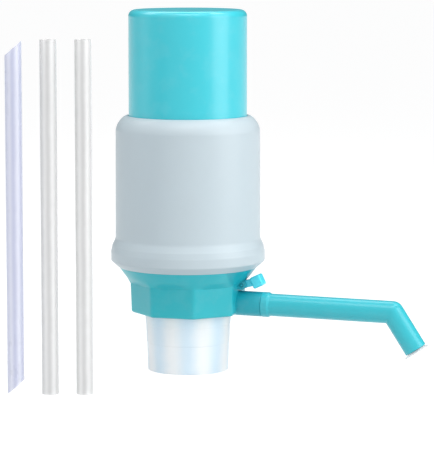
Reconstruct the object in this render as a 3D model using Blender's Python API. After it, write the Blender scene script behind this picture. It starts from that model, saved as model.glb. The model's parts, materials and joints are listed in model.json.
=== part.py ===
# Hand pump with a pressed cap, a bellows, a faceted base collar, a turning spout
# and three loose suction tubes. Metres, +Z up, standing on the rim of its neck sleeve.
# The origin is on the floor, under the middle of the whole set.

import math

import bmesh
import bpy
from mathutils import Matrix, Vector

MM = 0.001

# Clearances and the overrun of the cuts
GAP = 0.3 * MM
SLOT_GAP = 0.4 * MM
OVERRUN = 2 * MM
MERGE_DISTANCE = 0.001 * MM
SMOOTH_ANGLE = math.radians(35)

# Heights of the outside, from the floor up
SLEEVE_DROP = 38.9 * MM
SKIRT_HEIGHT = 18.6 * MM
CONE_HEIGHT = 10.9 * MM
BODY_HEIGHT = 99.3 * MM
CAP_RISE = 69.0 * MM

# Press cap
CAP_RADIUS = 38.75 * MM
CAP_ROUNDING = 4.3 * MM
CAP_WALL = 2.0 * MM
CAP_BEAD = 1.9 * MM
CAP_BEAD_HEIGHT = 3.2 * MM
CAP_POST_RADIUS = 2.5 * MM
CAP_POST_CIRCLE = 24 * MM
CAP_POST_HEIGHT = 3.5 * MM
CAP_POSTS = 4

# Pump body
BODY_RADIUS = 47.3 * MM
BODY_DRAFT = 0.3 * MM
BODY_WALL = 2.0 * MM
MOUTH_LIP = 0.9 * MM
SHOULDER_HEIGHT = 9.8 * MM
SHOULDER_ROUNDING_SHARE = 0.8
GUIDE_HEIGHT = 11 * MM
GUIDE_WALL = 2.0 * MM
BAND_RADIUS = 50.6 * MM
BAND_CHAMFER = 4.2 * MM
BAND_TOP = 10.3 * MM
BAND_FLARE = 8.4 * MM
BAND_FLARE_SHARES = ((0, 1), (0.6, 0.62), (0.83, 0.42), (1, 0))
BAND_WALL = 2.4 * MM
SHELF_OVERLAP = 2.7 * MM
SHELF_THICKNESS = 2.0 * MM

# Neck sleeve and gasket
SLEEVE_TOP_RADIUS = 28.2 * MM
SLEEVE_FOOT_RADIUS = 26.65 * MM
SLEEVE_WALL = 1.0 * MM
SLEEVE_STEP = 0.3 * MM
SLEEVE_STEP_SHARES = (0.71, 0.40)
SLEEVE_FLANGE_WIDTH = 3.4 * MM
SLEEVE_FLANGE_THICKNESS = 1.2 * MM
GASKET_WIDTH = 7.2 * MM
GASKET_INNER = SLEEVE_TOP_RADIUS - GASKET_WIDTH
GASKET_THICKNESS = 1.8 * MM

# Base collar, whose skirt goes round the sleeve's flange
COLLAR_RADIUS = 45.6 * MM
SPIGOT_RADIUS = 43.5 * MM
SPIGOT_WALL = 2.0 * MM
SEAT_RISE = 1.3 * MM
SEAT_WIDTH = 2.2 * MM
CONE_WALL = 2.8 * MM
SKIRT_SIDES = 8
SKIRT_WALL = 3.0 * MM
SKIRT_APOTHEM = SLEEVE_TOP_RADIUS + SLEEVE_FLANGE_WIDTH + 2 * SLOT_GAP + SKIRT_WALL
SKIRT_DRAFT = 0.7 * MM
SKIRT_CORNER = 3.0 * MM
SKIRT_EDGE = 1.2 * MM
SKIRT_FACET_SHARES = (0.62, 0.22, -0.22, -0.62)
BEAD_DEPTH = 1.6 * MM
BEAD_HEIGHT = 1.2 * MM
BEAD_RISE = 0.4 * MM
DECK_RISE = 5.5 * MM
DECK_THICKNESS = 2.0 * MM

# Water way through the collar
CHANNEL_RADIUS = 3.8 * MM
CHANNEL_BORE = 2.5 * MM
NOZZLE_RADIUS = 8.0 * MM
NOZZLE_BORE = 6.9 * MM
NOZZLE_LENGTH = 22.4 * MM
NOZZLE_STOP = 6.4 * MM
NOZZLE_WATER_BORE = 3.6 * MM
BUSH_FLANGE = 1.0 * MM
BUSH_LENGTH = 15 * MM

# Spout socket and spout
SPOUT_YAW = math.radians(16.5)
SPOUT_DROOP = math.radians(1.0)
SPOUT_RISE = 7.0 * MM
BOSS_RADIUS = 7.9 * MM
BOSS_LENGTH = 15.8 * MM
BOSS_REACH = SKIRT_APOTHEM + BOSS_LENGTH
BOSS_CHAMFER = 0.5 * MM
SOCKET_BORE = 5.5 * MM
SOCKET_DEPTH = 14.4 * MM
SPOUT_SPIGOT_RADIUS = 5.1 * MM
SPOUT_WATER_BORE = 3.4 * MM
SPOUT_COLLAR_RADIUS = 8.05 * MM
SPOUT_COLLAR_LENGTH = 4.0 * MM
SPOUT_CHAMFER = 1.4 * MM
SPOUT_RADIUS = 7.15 * MM
SPOUT_BORE = 5.6 * MM
SPOUT_REACH = 138.2 * MM
SPOUT_BEND = math.radians(56)
OUTLET_LENGTH = 28.4 * MM
OUTLET_EDGE = 0.5 * MM
RING_THICKNESS = 0.8 * MM
RING_FROM_MOUTH_SHARES = (0.3, 0.72)

# Outlet plug
PLUG_RADIUS = 8.65 * MM
PLUG_THICKNESS = 0.8 * MM
PLUG_STANDOFF = 0.9 * MM
PLUG_LENGTH = 8 * MM
PLUG_WALL = 0.9 * MM

# Valve plate, air duct and flaps
PLATE_THICKNESS = 2.5 * MM
DUCT_REACH = 14.5 * MM
DUCT_RADIUS = 8.0 * MM
DUCT_WALL = 1.4 * MM
DUCT_SOCKET_WALL = 1.5 * MM
DUCT_SOCKET_HEIGHT = 5.0 * MM
DUCT_PORT = 5.5 * MM
SEAL_THICKNESS = 1.2 * MM
OUTLET_FLAP_RADIUS = 5.8 * MM
OUTLET_FLAP_THICKNESS = 1.0 * MM
OUTLET_STEM_RADIUS = 1.2 * MM
OUTLET_PORT_RADIUS = 1.0 * MM
INTAKE_FLAP_RADIUS = 9.0 * MM
INTAKE_FLAP_THICKNESS = 1.2 * MM
INTAKE_STEM_RADIUS = 1.5 * MM
INTAKE_PORT_RADIUS = 1.8 * MM
PORT_COUNT = 6
FLAP_LIFT = 1.0 * MM
FLAP_HEAD_MARGIN = 0.8 * MM
FLAP_HEAD_HEIGHT = 1.2 * MM

# Bellows
BELLOWS_CLEARANCE = 1.75 * MM
BELLOWS_FOLD_DEPTH = 6.5 * MM
BELLOWS_WALL = 1.2 * MM
BELLOWS_FOLDS = 8
NECK_HEIGHT = 6.5 * MM
NECK_SPIGOT_WALL = 2.0 * MM

# Vent lever, its ears and the vent valve, in the spout's plane
PIVOT_STANDOFF = 2.4 * MM
PIVOT_RISE = 0.1 * MM
PIN_RADIUS = 1.0 * MM
EAR_RADIUS = 3.0 * MM
EAR_THICKNESS = 2.0 * MM
LEVER_WIDTH = 4.8 * MM
LEVER_HUB_RADIUS = 2.5 * MM
LEVER_SLOPE = math.radians(15)
HEAD_TILT = math.radians(25)
HEAD_LENGTH = 7.2 * MM
HEAD_THICKNESS = 7.6 * MM
HEAD_WIDTH = 9.0 * MM
HEAD_ROUNDING = 0.8 * MM
HEAD_REACH = 10.4 * MM
LEVER_ARM_HEIGHT = 2.6 * MM
LEVER_ARM_WIDTH = 4.0 * MM
WINDOW_BELOW = 2.4 * MM
WINDOW_ABOVE = 4.8 * MM
VENT_REACH = 15.0 * MM
VENT_SIDE = 8.5 * MM
VENT_BORE = 1.8 * MM
VENT_SEAL_RADIUS = 3.2 * MM
VENT_STEM_RADIUS = 1.5 * MM
VENT_FLANGE_RADIUS = 3.9 * MM
VENT_FLANGE_THICKNESS = 1.2 * MM
VENT_LIFT = 4.1 * MM
VENT_GUIDE_WALL = 0.7 * MM
VENT_GUIDE_ENTRY = 0.8 * MM
SPRING_RADIUS = 3.3 * MM
SPRING_WIRE = 0.5 * MM
SPRING_TURNS = 6

# Suction tubes, standing beside the pump: distances left of and in front of its axis
TUBE_RADIUS = 5.3 * MM
TUBE_WALL = 0.9 * MM
TUBE_LENGTH = 222 * MM
TUBE_PITCH = 21.6 * MM
TUBE_NEAREST_LEFT = 63.8 * MM
TUBE_FRONT = 90.6 * MM
SLANTED_TUBE_LENGTH = 212 * MM
SLANT = math.radians(41)

# Facets of the round pieces
BODY_STEPS = 40
ROOM_STEPS = 24
SMALL_STEPS = 24
TINY_STEPS = 12
ROUNDING_STEPS = 4
BEND_STEPS = 5
RING_SIDES = 6
SPRING_STEPS = 8

# Heights worked out from the sizes above
skirtZ = SLEEVE_DROP
creaseZ = skirtZ + SKIRT_HEIGHT
collarTopZ = creaseZ + CONE_HEIGHT
bodyZ = collarTopZ + GAP
mouthZ = bodyZ + BODY_HEIGHT
capTopZ = mouthZ + CAP_RISE
deckZ = skirtZ + DECK_RISE
deckTopZ = deckZ + DECK_THICKNESS
channelZ = deckZ + CHANNEL_RADIUS
nozzleZ = deckZ - NOZZLE_LENGTH
seatZ = collarTopZ + SEAT_RISE
plateZ = seatZ + GAP
plateTopZ = plateZ + PLATE_THICKNESS
shelfZ = plateTopZ + GAP
pivotZ = creaseZ + PIVOT_RISE
capCeilingZ = capTopZ - CAP_WALL
topPlateTopZ = capCeilingZ - CAP_POST_HEIGHT - GAP
topPlateZ = topPlateTopZ - PLATE_THICKNESS

# Radii worked out from the sizes above
skirtBore = SKIRT_APOTHEM - SKIRT_WALL
lowerBore = skirtBore - SLOT_GAP
flangeRadius = lowerBore - SLOT_GAP
spigotBore = SPIGOT_RADIUS - SPIGOT_WALL
plateRadius = spigotBore - GAP
bodyBore = SPIGOT_RADIUS + GAP
mouthBore = CAP_RADIUS + GAP
capBore = CAP_RADIUS - CAP_WALL
bellowsCrest = capBore - BELLOWS_CLEARANCE
bellowsRoot = bellowsCrest - BELLOWS_FOLD_DEPTH
neckSpigot = bellowsRoot - BELLOWS_WALL - SLOT_GAP
pivotReach = SKIRT_APOTHEM + PIVOT_STANDOFF
pinReach = LEVER_WIDTH / 2 + GAP + EAR_THICKNESS
ductBore = DUCT_RADIUS - DUCT_WALL
guideBore = VENT_STEM_RADIUS + SLOT_GAP
guideRadius = guideBore + VENT_GUIDE_WALL


def clear_scene():
    for thing in list(bpy.data.objects):
        bpy.data.objects.remove(thing, do_unlink=True)


def linear(value):
    share = value / 255
    return share / 12.92 if share <= 0.04045 else ((share + 0.055) / 1.055) ** 2.4


def finish(name, colour, roughness, metallic=0.0, see_through=0.0):
    """A Principled material from a screen colour written in 0 to 255."""
    look = bpy.data.materials.new(name)
    look.use_nodes = True
    shader = look.node_tree.nodes["Principled BSDF"]
    red, green, blue = (linear(value) for value in colour)
    shader.inputs["Base Color"].default_value = (red, green, blue, 1)
    shader.inputs["Roughness"].default_value = roughness
    shader.inputs["Metallic"].default_value = metallic
    shader.inputs["Transmission Weight"].default_value = see_through
    look.diffuse_color = (red, green, blue, 1)
    return look


def empty(name, place, parent=None, turn=None):
    marker = bpy.data.objects.new(name, None)
    bpy.context.collection.objects.link(marker)
    marker.parent = parent
    marker.matrix_local = Matrix.Translation(place) @ (turn or Matrix.Identity(4))
    return marker


def solid(name, mesh_data, parent, place=(0, 0, 0), look=None, turn=None):
    """Turn a bmesh into a named object on its parent, with clean outward faces."""
    bmesh.ops.remove_doubles(mesh_data, verts=mesh_data.verts, dist=MERGE_DISTANCE)
    bmesh.ops.recalc_face_normals(mesh_data, faces=mesh_data.faces)
    mesh = bpy.data.meshes.new(name)
    mesh_data.to_mesh(mesh)
    mesh_data.free()
    mesh.shade_smooth()
    mesh.set_sharp_from_angle(angle=SMOOTH_ANGLE)
    thing = bpy.data.objects.new(name, mesh)
    bpy.context.collection.objects.link(thing)
    thing.parent = parent
    thing.matrix_local = Matrix.Translation(place) @ (turn or Matrix.Identity(4))
    if look:
        mesh.materials.append(look)
    return thing


def turned(profile, steps=SMALL_STEPS, closed=True):
    """Spin an outline of (radius, height) points about Z. An open outline ends on the axis.

    Where an open outline meets the axis level, its fan of triangles is one flat face.
    """
    form = bmesh.new()
    points = [form.verts.new((radius, 0, height)) for radius, height in profile]
    count = len(points) if closed else len(points) - 1
    for n in range(count):
        form.edges.new((points[n], points[(n + 1) % len(points)]))
    bmesh.ops.spin(
        form, geom=form.verts[:] + form.edges[:], cent=(0, 0, 0), axis=(0, 0, 1),
        angle=math.tau, steps=steps, use_merge=True)
    bmesh.ops.remove_doubles(form, verts=form.verts, dist=MERGE_DISTANCE)
    middles = [vert for vert in form.verts if vert.co.xy.length < MERGE_DISTANCE]
    level = [vert for vert in middles
             if all(abs(edge.other_vert(vert).co.z - vert.co.z) < MERGE_DISTANCE
                    for edge in vert.link_edges)]
    bmesh.ops.dissolve_verts(form, verts=level)
    return form


def cylinder(radius, low, high, steps=SMALL_STEPS):
    return turned([(0, high), (radius, high), (radius, low), (0, low)], steps, closed=False)


def ring(outer, inner, low, high, steps=SMALL_STEPS):
    return turned([(outer, high), (outer, low), (inner, low), (inner, high)], steps)


def slab(outline, low, high):
    """Extrude an outline of (x, z) points along Y, from low to high."""
    form = bmesh.new()
    face = form.faces.new([form.verts.new((x, low, z)) for x, z in outline])
    grown = bmesh.ops.extrude_face_region(form, geom=[face])
    moved = [item for item in grown["geom"] if isinstance(item, bmesh.types.BMVert)]
    bmesh.ops.translate(form, verts=moved, vec=(0, high - low, 0))
    return form


def block(low, high):
    outline = [(low[0], low[2]), (high[0], low[2]), (high[0], high[2]), (low[0], high[2])]
    return slab(outline, low[1], high[1])


def skinned(rings, ends="capped"):
    """Join rings of points one after another: capped at both ends, or last to first."""
    form = bmesh.new()
    loops = [[form.verts.new(point) for point in points] for points in rings]
    pairs = list(zip(loops, loops[1:]))
    if ends == "joined":
        pairs.append((loops[-1], loops[0]))
    for near, far in pairs:
        for n in range(len(near)):
            m = (n + 1) % len(near)
            form.faces.new((near[n], near[m], far[m], far[n]))
    if ends == "capped":
        form.faces.new(loops[0])
        form.faces.new(loops[-1])
    return form


def tool_of(form, target, name, place=(0, 0, 0), turn=None):
    tool = solid(f"{target.name}_{name}", form, target.parent, place, turn=turn)
    tool.hide_render = True
    tool.display_type = "WIRE"
    return tool


def work(target, tool, operation):
    step = target.modifiers.new(tool.name, "BOOLEAN")
    step.operation = operation
    step.solver = "EXACT"
    step.object = tool


def join(target, form, name, place=(0, 0, 0), turn=None):
    work(target, tool_of(form, target, name, place, turn), "UNION")


def cut(target, form, name, place=(0, 0, 0), turn=None):
    work(target, tool_of(form, target, name, place, turn), "DIFFERENCE")


def along_spout():
    """Turn that lays a piece made about Z along the drooping spout axis."""
    return Matrix.Rotation(math.pi / 2 + SPOUT_DROOP, 4, "Y")


def arc(centre_x, centre_z, radius, start, stop, steps):
    """Points of an arc, by its start and stop angles."""
    turns = [start + (stop - start) * n / steps for n in range(steps + 1)]
    return [(centre_x + radius * math.cos(t), centre_z + radius * math.sin(t)) for t in turns]


def press_cap(parent, look):
    bead_z = mouthZ - GUIDE_HEIGHT - GAP
    bottom_z = bead_z - CAP_BEAD_HEIGHT
    rounding = arc(CAP_RADIUS - CAP_ROUNDING, capTopZ - CAP_ROUNDING, CAP_ROUNDING,
                   math.pi / 2, 0, ROUNDING_STEPS)
    inside = arc(CAP_RADIUS - CAP_ROUNDING, capTopZ - CAP_ROUNDING, CAP_ROUNDING - CAP_WALL,
                 0, math.pi / 2, ROUNDING_STEPS // 2)
    profile = [(0, capTopZ)] + rounding
    profile += [(CAP_RADIUS, bead_z), (CAP_RADIUS + CAP_BEAD, bead_z - CAP_BEAD / 2)]
    profile += [(CAP_RADIUS + CAP_BEAD, bottom_z), (capBore, bottom_z)]
    profile += inside + [(0, capCeilingZ)]
    cap = solid("press_cap", turned(profile, BODY_STEPS, closed=False), parent, look=look)
    for n in range(CAP_POSTS):
        angle = math.tau * (n + 0.5) / CAP_POSTS
        place = (CAP_POST_CIRCLE * math.cos(angle), CAP_POST_CIRCLE * math.sin(angle), 0)
        low = capCeilingZ - CAP_POST_HEIGHT
        post = cylinder(CAP_POST_RADIUS, low, capCeilingZ + CAP_WALL / 2, TINY_STEPS)
        join(cap, post, f"post_{n}", place)
    return cap


def port_circle(target, stem_radius, port_radius, low, high, reach=0.0):
    """Cut a flap's stem hole and its ring of air ports through a plate."""
    hole = cylinder(stem_radius + SLOT_GAP, low - OVERRUN, high + OVERRUN, TINY_STEPS)
    cut(target, hole, "stem_hole", (reach, 0, 0))
    circle = stem_radius + SLOT_GAP + 2 * port_radius
    for n in range(PORT_COUNT):
        angle = math.tau * n / PORT_COUNT
        place = (reach + circle * math.cos(angle), circle * math.sin(angle), 0)
        port = cylinder(port_radius, low - OVERRUN, high + OVERRUN, TINY_STEPS)
        cut(target, port, f"port_{n}", place)


def bellows_top_plate(parent, look):
    """Disc under the cap's posts, with a spigot that holds the top of the bellows."""
    low = topPlateZ - NECK_HEIGHT
    profile = [(0, topPlateTopZ), (bellowsCrest - BELLOWS_WALL, topPlateTopZ)]
    profile += [(bellowsCrest - BELLOWS_WALL, topPlateZ), (neckSpigot, topPlateZ)]
    profile += [(neckSpigot, low), (neckSpigot - NECK_SPIGOT_WALL, low)]
    profile += [(neckSpigot - NECK_SPIGOT_WALL, topPlateZ), (0, topPlateZ)]
    plate = solid("bellows_top_plate", turned(profile, SMALL_STEPS, closed=False), parent,
                  look=look)
    port_circle(plate, INTAKE_STEM_RADIUS, INTAKE_PORT_RADIUS, topPlateZ, topPlateTopZ)
    return plate


def flap(name, parent, place, radius, thickness, stem, look):
    """One-way valve: a rubber disc under a plate, on a stem that ends in a round head."""
    head_z = GAP + PLATE_THICKNESS + FLAP_LIFT + GAP
    head = stem + FLAP_HEAD_MARGIN
    profile = [(0, head_z + FLAP_HEAD_HEIGHT), (stem, head_z + FLAP_HEAD_HEIGHT)]
    profile += [(head, head_z), (stem, head_z), (stem, 0), (radius, 0)]
    profile += [(radius, -thickness / 2), (stem, -thickness), (0, -thickness)]
    return solid(name, turned(profile, TINY_STEPS, closed=False), parent, place, look)


def bellows(parent, look):
    """Folded hose between the two plates, its necks over their spigots."""
    low = plateTopZ + GAP
    high = topPlateZ - GAP
    fold_low = low + NECK_HEIGHT
    fold_high = high - NECK_HEIGHT
    pitch = (fold_high - fold_low) / BELLOWS_FOLDS
    outer = [(bellowsRoot, high)]
    inner = []
    for n in range(BELLOWS_FOLDS):
        top = fold_high - n * pitch
        outer += [(bellowsRoot, top), (bellowsCrest, top - pitch / 2)]
        inner += [(bellowsRoot - BELLOWS_WALL, top)]
        inner += [(bellowsCrest - BELLOWS_WALL, top - pitch / 2)]
    outer += [(bellowsRoot, fold_low), (bellowsRoot, low)]
    inner += [(bellowsRoot - BELLOWS_WALL, fold_low)]
    inner = [(bellowsRoot - BELLOWS_WALL, high)] + inner + [(bellowsRoot - BELLOWS_WALL, low)]
    return solid("bellows", turned(outer + inner[::-1], SMALL_STEPS), parent, look=look)


def shoulder():
    """Rounded shoulder from the mouth's lip down to the side, drawn in like a soft chamfer."""
    lip = mouthBore + MOUTH_LIP
    power = 1 / SHOULDER_ROUNDING_SHARE
    points = []
    for n in range(ROUNDING_STEPS + 1):
        t = math.pi / 2 * (1 - n / ROUNDING_STEPS)
        across = (BODY_RADIUS - lip) * math.cos(t) ** power
        drop = SHOULDER_HEIGHT * (1 - math.sin(t) ** power)
        points.append((lip + across, mouthZ - drop))
    return points


def band_flare(foot):
    """Outline from the straight side out to the thick band."""
    width = BAND_RADIUS - foot
    low = bodyZ + BAND_TOP
    return [(foot + across * width, low + up * BAND_FLARE) for across, up in BAND_FLARE_SHARES]


def pump_body(parent, look):
    guide_z = mouthZ - GUIDE_HEIGHT
    side_bore = BODY_RADIUS - BODY_WALL
    foot = BODY_RADIUS + BODY_DRAFT
    band_top = bodyZ + BAND_TOP
    outside = [(mouthBore, mouthZ)] + shoulder() + band_flare(foot)
    outside += [(BAND_RADIUS, bodyZ + BAND_CHAMFER), (COLLAR_RADIUS + GAP, bodyZ)]
    outside += [(bodyBore, bodyZ)]
    shelf_top = shelfZ + SHELF_THICKNESS
    shelf_radius = plateRadius - SHELF_OVERLAP
    inside = [(bodyBore, shelfZ), (shelf_radius, shelfZ), (shelf_radius, shelf_top)]
    inside += [(BAND_RADIUS - BAND_WALL, shelf_top), (BAND_RADIUS - BAND_WALL, band_top)]
    inside += [(side_bore, band_top + BAND_FLARE), (side_bore, mouthZ - SHOULDER_HEIGHT)]
    inside += [(mouthBore + GUIDE_WALL, guide_z + GUIDE_HEIGHT / 2)]
    inside += [(mouthBore + GUIDE_WALL, guide_z), (mouthBore, guide_z)]
    return solid("pump_body", turned(outside + inside, BODY_STEPS), parent, look=look)


def valve_plate(parent, look):
    """Plate that closes the bellows below, with its air duct and the vent plunger's guide."""
    spigot_top = plateTopZ + NECK_HEIGHT
    profile = [(0, plateTopZ), (neckSpigot - NECK_SPIGOT_WALL, plateTopZ)]
    profile += [(neckSpigot - NECK_SPIGOT_WALL, spigot_top), (neckSpigot, spigot_top)]
    profile += [(neckSpigot, plateTopZ), (plateRadius, plateTopZ)]
    profile += [(plateRadius, plateZ), (0, plateZ)]
    plate = solid("valve_plate", turned(profile, ROOM_STEPS, closed=False), parent, look=look)
    inset = PLATE_THICKNESS / 2
    duct_z = deckTopZ + GAP + SEAL_THICKNESS + GAP
    join(plate, ring(DUCT_RADIUS, ductBore, duct_z, plateZ + inset), "duct", (-DUCT_REACH, 0, 0))
    guide = ring(guideRadius, guideBore, guide_bottom(), plateZ + inset, TINY_STEPS)
    join(plate, guide, "guide", (VENT_REACH, VENT_SIDE, 0))
    port_circle(plate, OUTLET_STEM_RADIUS, OUTLET_PORT_RADIUS, plateZ, plateTopZ, -DUCT_REACH)
    return plate


def fork_top():
    return pivotZ + LEVER_ARM_HEIGHT / 2


def vent_flange_z():
    return fork_top() + GAP


def guide_bottom():
    return vent_flange_z() + VENT_FLANGE_THICKNESS + VENT_LIFT + GAP


def skirt_outline(apothem):
    """Eight-sided outline with rounded corners, as points about Z."""
    step = math.tau / SKIRT_SIDES
    reach = (apothem - SKIRT_CORNER) / math.cos(step / 2)
    points = []
    for side in range(SKIRT_SIDES):
        corner = (side + 0.5) * step
        for n in range(ROUNDING_STEPS):
            t = side * step + step * n / (ROUNDING_STEPS - 1)
            x = reach * math.cos(corner) + SKIRT_CORNER * math.cos(t)
            y = reach * math.sin(corner) + SKIRT_CORNER * math.sin(t)
            points.append((x, y))
        start = Vector(points[-1])
        facing = (side + 1) * step
        half = start - apothem * Vector((math.cos(facing), math.sin(facing)))
        for share in SKIRT_FACET_SHARES:
            spot = apothem * Vector((math.cos(facing), math.sin(facing))) + share * half
            points.append((spot.x, spot.y))
    return points


def round_outline(radius, like):
    """Circle whose points lie in the same directions as those of another outline."""
    return [tuple(radius * Vector(point).normalized()) for point in like]


def collar_outside():
    """Skirt, cone and spigot as one skin: eight-sided below, round above."""
    full = skirt_outline(SKIRT_APOTHEM)
    low = skirt_outline(SKIRT_APOTHEM - SKIRT_DRAFT)
    edge = skirt_outline(SKIRT_APOTHEM - SKIRT_DRAFT - SKIRT_EDGE)
    soft = skirt_outline(SKIRT_APOTHEM - SKIRT_DRAFT - SKIRT_EDGE / 4)
    top = collarTopZ
    levels = [(edge, skirtZ), (soft, skirtZ + SKIRT_EDGE / 2), (low, skirtZ + SKIRT_EDGE)]
    levels += [(full, creaseZ), (round_outline(COLLAR_RADIUS, full), top)]
    levels += [(round_outline(SPIGOT_RADIUS, full), top)]
    levels += [(round_outline(SPIGOT_RADIUS, full), plateTopZ)]
    return skinned([[(x, y, z) for x, y in outline] for outline, z in levels])


def ear_outline():
    back = PIVOT_STANDOFF + SKIRT_WALL / 2
    return [(-back, -EAR_RADIUS)] + arc(0, 0, EAR_RADIUS, -math.pi / 2, math.pi / 2,
                                        2 * ROUNDING_STEPS) + [(-back, EAR_RADIUS)]


def base_collar(parent, look):
    """Cone and skirt with the deck, the water channel, the spout socket and the vent's ears."""
    collar = solid("base_collar", collar_outside(), parent, look=look)
    spout_place = (0, 0, skirtZ + SPOUT_RISE)
    boss = turned([(0, BOSS_REACH), (BOSS_RADIUS - BOSS_CHAMFER, BOSS_REACH),
                   (BOSS_RADIUS, BOSS_REACH - BOSS_CHAMFER), (BOSS_RADIUS, skirtBore + SLOT_GAP),
                   (0, skirtBore + SLOT_GAP)], SMALL_STEPS, closed=False)
    join(collar, boss, "boss", spout_place, along_spout())
    for side in (-1, 1):
        near = side * (LEVER_WIDTH / 2 + GAP)
        far = near + side * EAR_THICKNESS
        ear = slab(ear_outline(), min(near, far), max(near, far))
        join(collar, ear, f"ear_{side + 1}", (pivotReach, 0, pivotZ))

    bead_low = skirtZ + BEAD_RISE
    bead_bore = lowerBore - BEAD_DEPTH
    lower = [(0, deckZ), (lowerBore, deckZ), (lowerBore, bead_low + BEAD_HEIGHT)]
    lower += [(bead_bore, bead_low + BEAD_HEIGHT - BEAD_RISE), (bead_bore, bead_low)]
    lower += [(bead_bore, skirtZ - OVERRUN), (0, skirtZ - OVERRUN)]
    cut(collar, turned(lower, ROOM_STEPS, closed=False), "lower_room")
    seat = spigotBore - SEAT_WIDTH
    top_bore = COLLAR_RADIUS - CONE_WALL - SPIGOT_WALL
    upper = [(0, plateTopZ + OVERRUN), (spigotBore, plateTopZ + OVERRUN), (spigotBore, seatZ)]
    upper += [(seat, seatZ), (min(seat, top_bore), collarTopZ - SPIGOT_WALL), (skirtBore, creaseZ)]
    upper += [(skirtBore, deckTopZ), (0, deckTopZ)]
    cut(collar, turned(upper, ROOM_STEPS, closed=False), "upper_room")

    end = turned([(0, skirtBore + SLOT_GAP), (CHANNEL_RADIUS, skirtBore + SLOT_GAP),
                  (CHANNEL_RADIUS, 0)] + arc(0, 0, CHANNEL_RADIUS, 0, -math.pi / 2, ROUNDING_STEPS)[1:],
                 SMALL_STEPS, closed=False)
    level = Matrix.Rotation(math.pi / 2, 4, "Y")
    join(collar, end, "channel", (0, 0, channelZ), level)
    nozzle = cylinder(NOZZLE_RADIUS, nozzleZ, deckZ + DECK_THICKNESS / 2)
    join(collar, nozzle, "nozzle")
    socket_radius = DUCT_RADIUS + GAP + DUCT_SOCKET_WALL
    socket = ring(socket_radius, DUCT_RADIUS + GAP, deckZ + DECK_THICKNESS / 2,
                  deckTopZ + DUCT_SOCKET_HEIGHT)
    join(collar, socket, "duct_socket", (-DUCT_REACH, 0, 0))

    channel = cylinder(CHANNEL_BORE, -CHANNEL_BORE / 3, SKIRT_APOTHEM + OVERRUN, TINY_STEPS)
    cut(collar, channel, "channel_bore", (0, 0, channelZ), level)
    stop_z = deckZ - NOZZLE_STOP
    inside = [(0, channelZ), (CHANNEL_BORE - SLOT_GAP, channelZ), (NOZZLE_WATER_BORE, deckZ)]
    inside += [(NOZZLE_WATER_BORE, stop_z), (NOZZLE_BORE, stop_z)]
    inside += [(NOZZLE_BORE, nozzleZ - OVERRUN), (0, nozzleZ - OVERRUN)]
    cut(collar, turned(inside, SMALL_STEPS, closed=False), "nozzle_bore")
    cut(collar, cylinder(SOCKET_BORE, BOSS_REACH - SOCKET_DEPTH, BOSS_REACH + OVERRUN),
        "socket_bore", spout_place, along_spout())
    cut(collar, cylinder(DUCT_PORT, deckZ - OVERRUN, deckTopZ + OVERRUN), "duct_port",
        (-DUCT_REACH, 0, 0))
    cut(collar, cylinder(VENT_BORE, deckZ - OVERRUN, deckTopZ + OVERRUN, TINY_STEPS),
        "vent_bore", (VENT_REACH, VENT_SIDE, 0))
    half = LEVER_WIDTH / 2 + GAP
    window = block((skirtBore - OVERRUN, -half, pivotZ - WINDOW_BELOW),
                   (pivotReach + EAR_RADIUS + OVERRUN, half, pivotZ + WINDOW_ABOVE))
    cut(collar, window, "window")
    pin_hole = cylinder(PIN_RADIUS + GAP, -pinReach - OVERRUN, pinReach + OVERRUN, TINY_STEPS)
    cut(collar, pin_hole, "pin_hole", (pivotReach, 0, pivotZ), Matrix.Rotation(math.pi / 2, 4, "X"))
    return collar


def tube_bush(parent, look):
    """Soft grip in the nozzle that holds the top of a suction tube."""
    top = nozzleZ - GAP + BUSH_LENGTH
    low = nozzleZ - GAP - BUSH_FLANGE
    outer = NOZZLE_BORE - GAP
    inner = TUBE_RADIUS + SLOT_GAP
    profile = [(outer, top), (outer, nozzleZ - GAP), (NOZZLE_RADIUS, nozzleZ - GAP)]
    profile += [(NOZZLE_RADIUS, low), (inner, low), (inner, top)]
    return solid("tube_bush", turned(profile), parent, look=look)


def neck_gasket(parent, look):
    """Gasket over the sleeve's flange, with a thicker ring inside the sleeve for the neck's rim."""
    top = deckZ - GAP
    under = top - GASKET_THICKNESS
    seat = under - GAP - SLEEVE_FLANGE_THICKNESS
    seat_radius = SLEEVE_TOP_RADIUS - SLEEVE_WALL - 2 * SLOT_GAP
    profile = [(flangeRadius, top), (flangeRadius, under), (seat_radius, under), (seat_radius, seat)]
    profile += [(GASKET_INNER, seat), (GASKET_INNER, top)]
    return solid("neck_gasket", turned(profile, ROOM_STEPS), parent, look=look)


def neck_sleeve(parent, look):
    """Thin stepped sleeve, held by its flange between the gasket and the skirt's bead."""
    top = deckZ - GAP - GASKET_THICKNESS - GAP
    under = top - SLEEVE_FLANGE_THICKNESS
    outside = [(flangeRadius, top), (flangeRadius, under), (SLEEVE_TOP_RADIUS, under)]
    for share in SLEEVE_STEP_SHARES:
        z = SLEEVE_DROP * share
        slope = (SLEEVE_TOP_RADIUS - SLEEVE_FOOT_RADIUS) * share
        outside += [(SLEEVE_FOOT_RADIUS + slope, z)]
        outside += [(SLEEVE_FOOT_RADIUS + slope - SLEEVE_STEP, z - SLEEVE_STEP)]
    outside += [(SLEEVE_FOOT_RADIUS, 0)]
    inside = [(SLEEVE_FOOT_RADIUS - SLEEVE_WALL, 0), (SLEEVE_TOP_RADIUS - SLEEVE_WALL, top)]
    return solid("neck_sleeve", turned(outside + inside, BODY_STEPS), parent, look=look)


def duct_seal(parent, look):
    low = deckTopZ + GAP
    form = ring(DUCT_RADIUS, DUCT_PORT, low, low + SEAL_THICKNESS)
    return solid("duct_seal", form, parent, (-DUCT_REACH, 0, 0), look)


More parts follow.
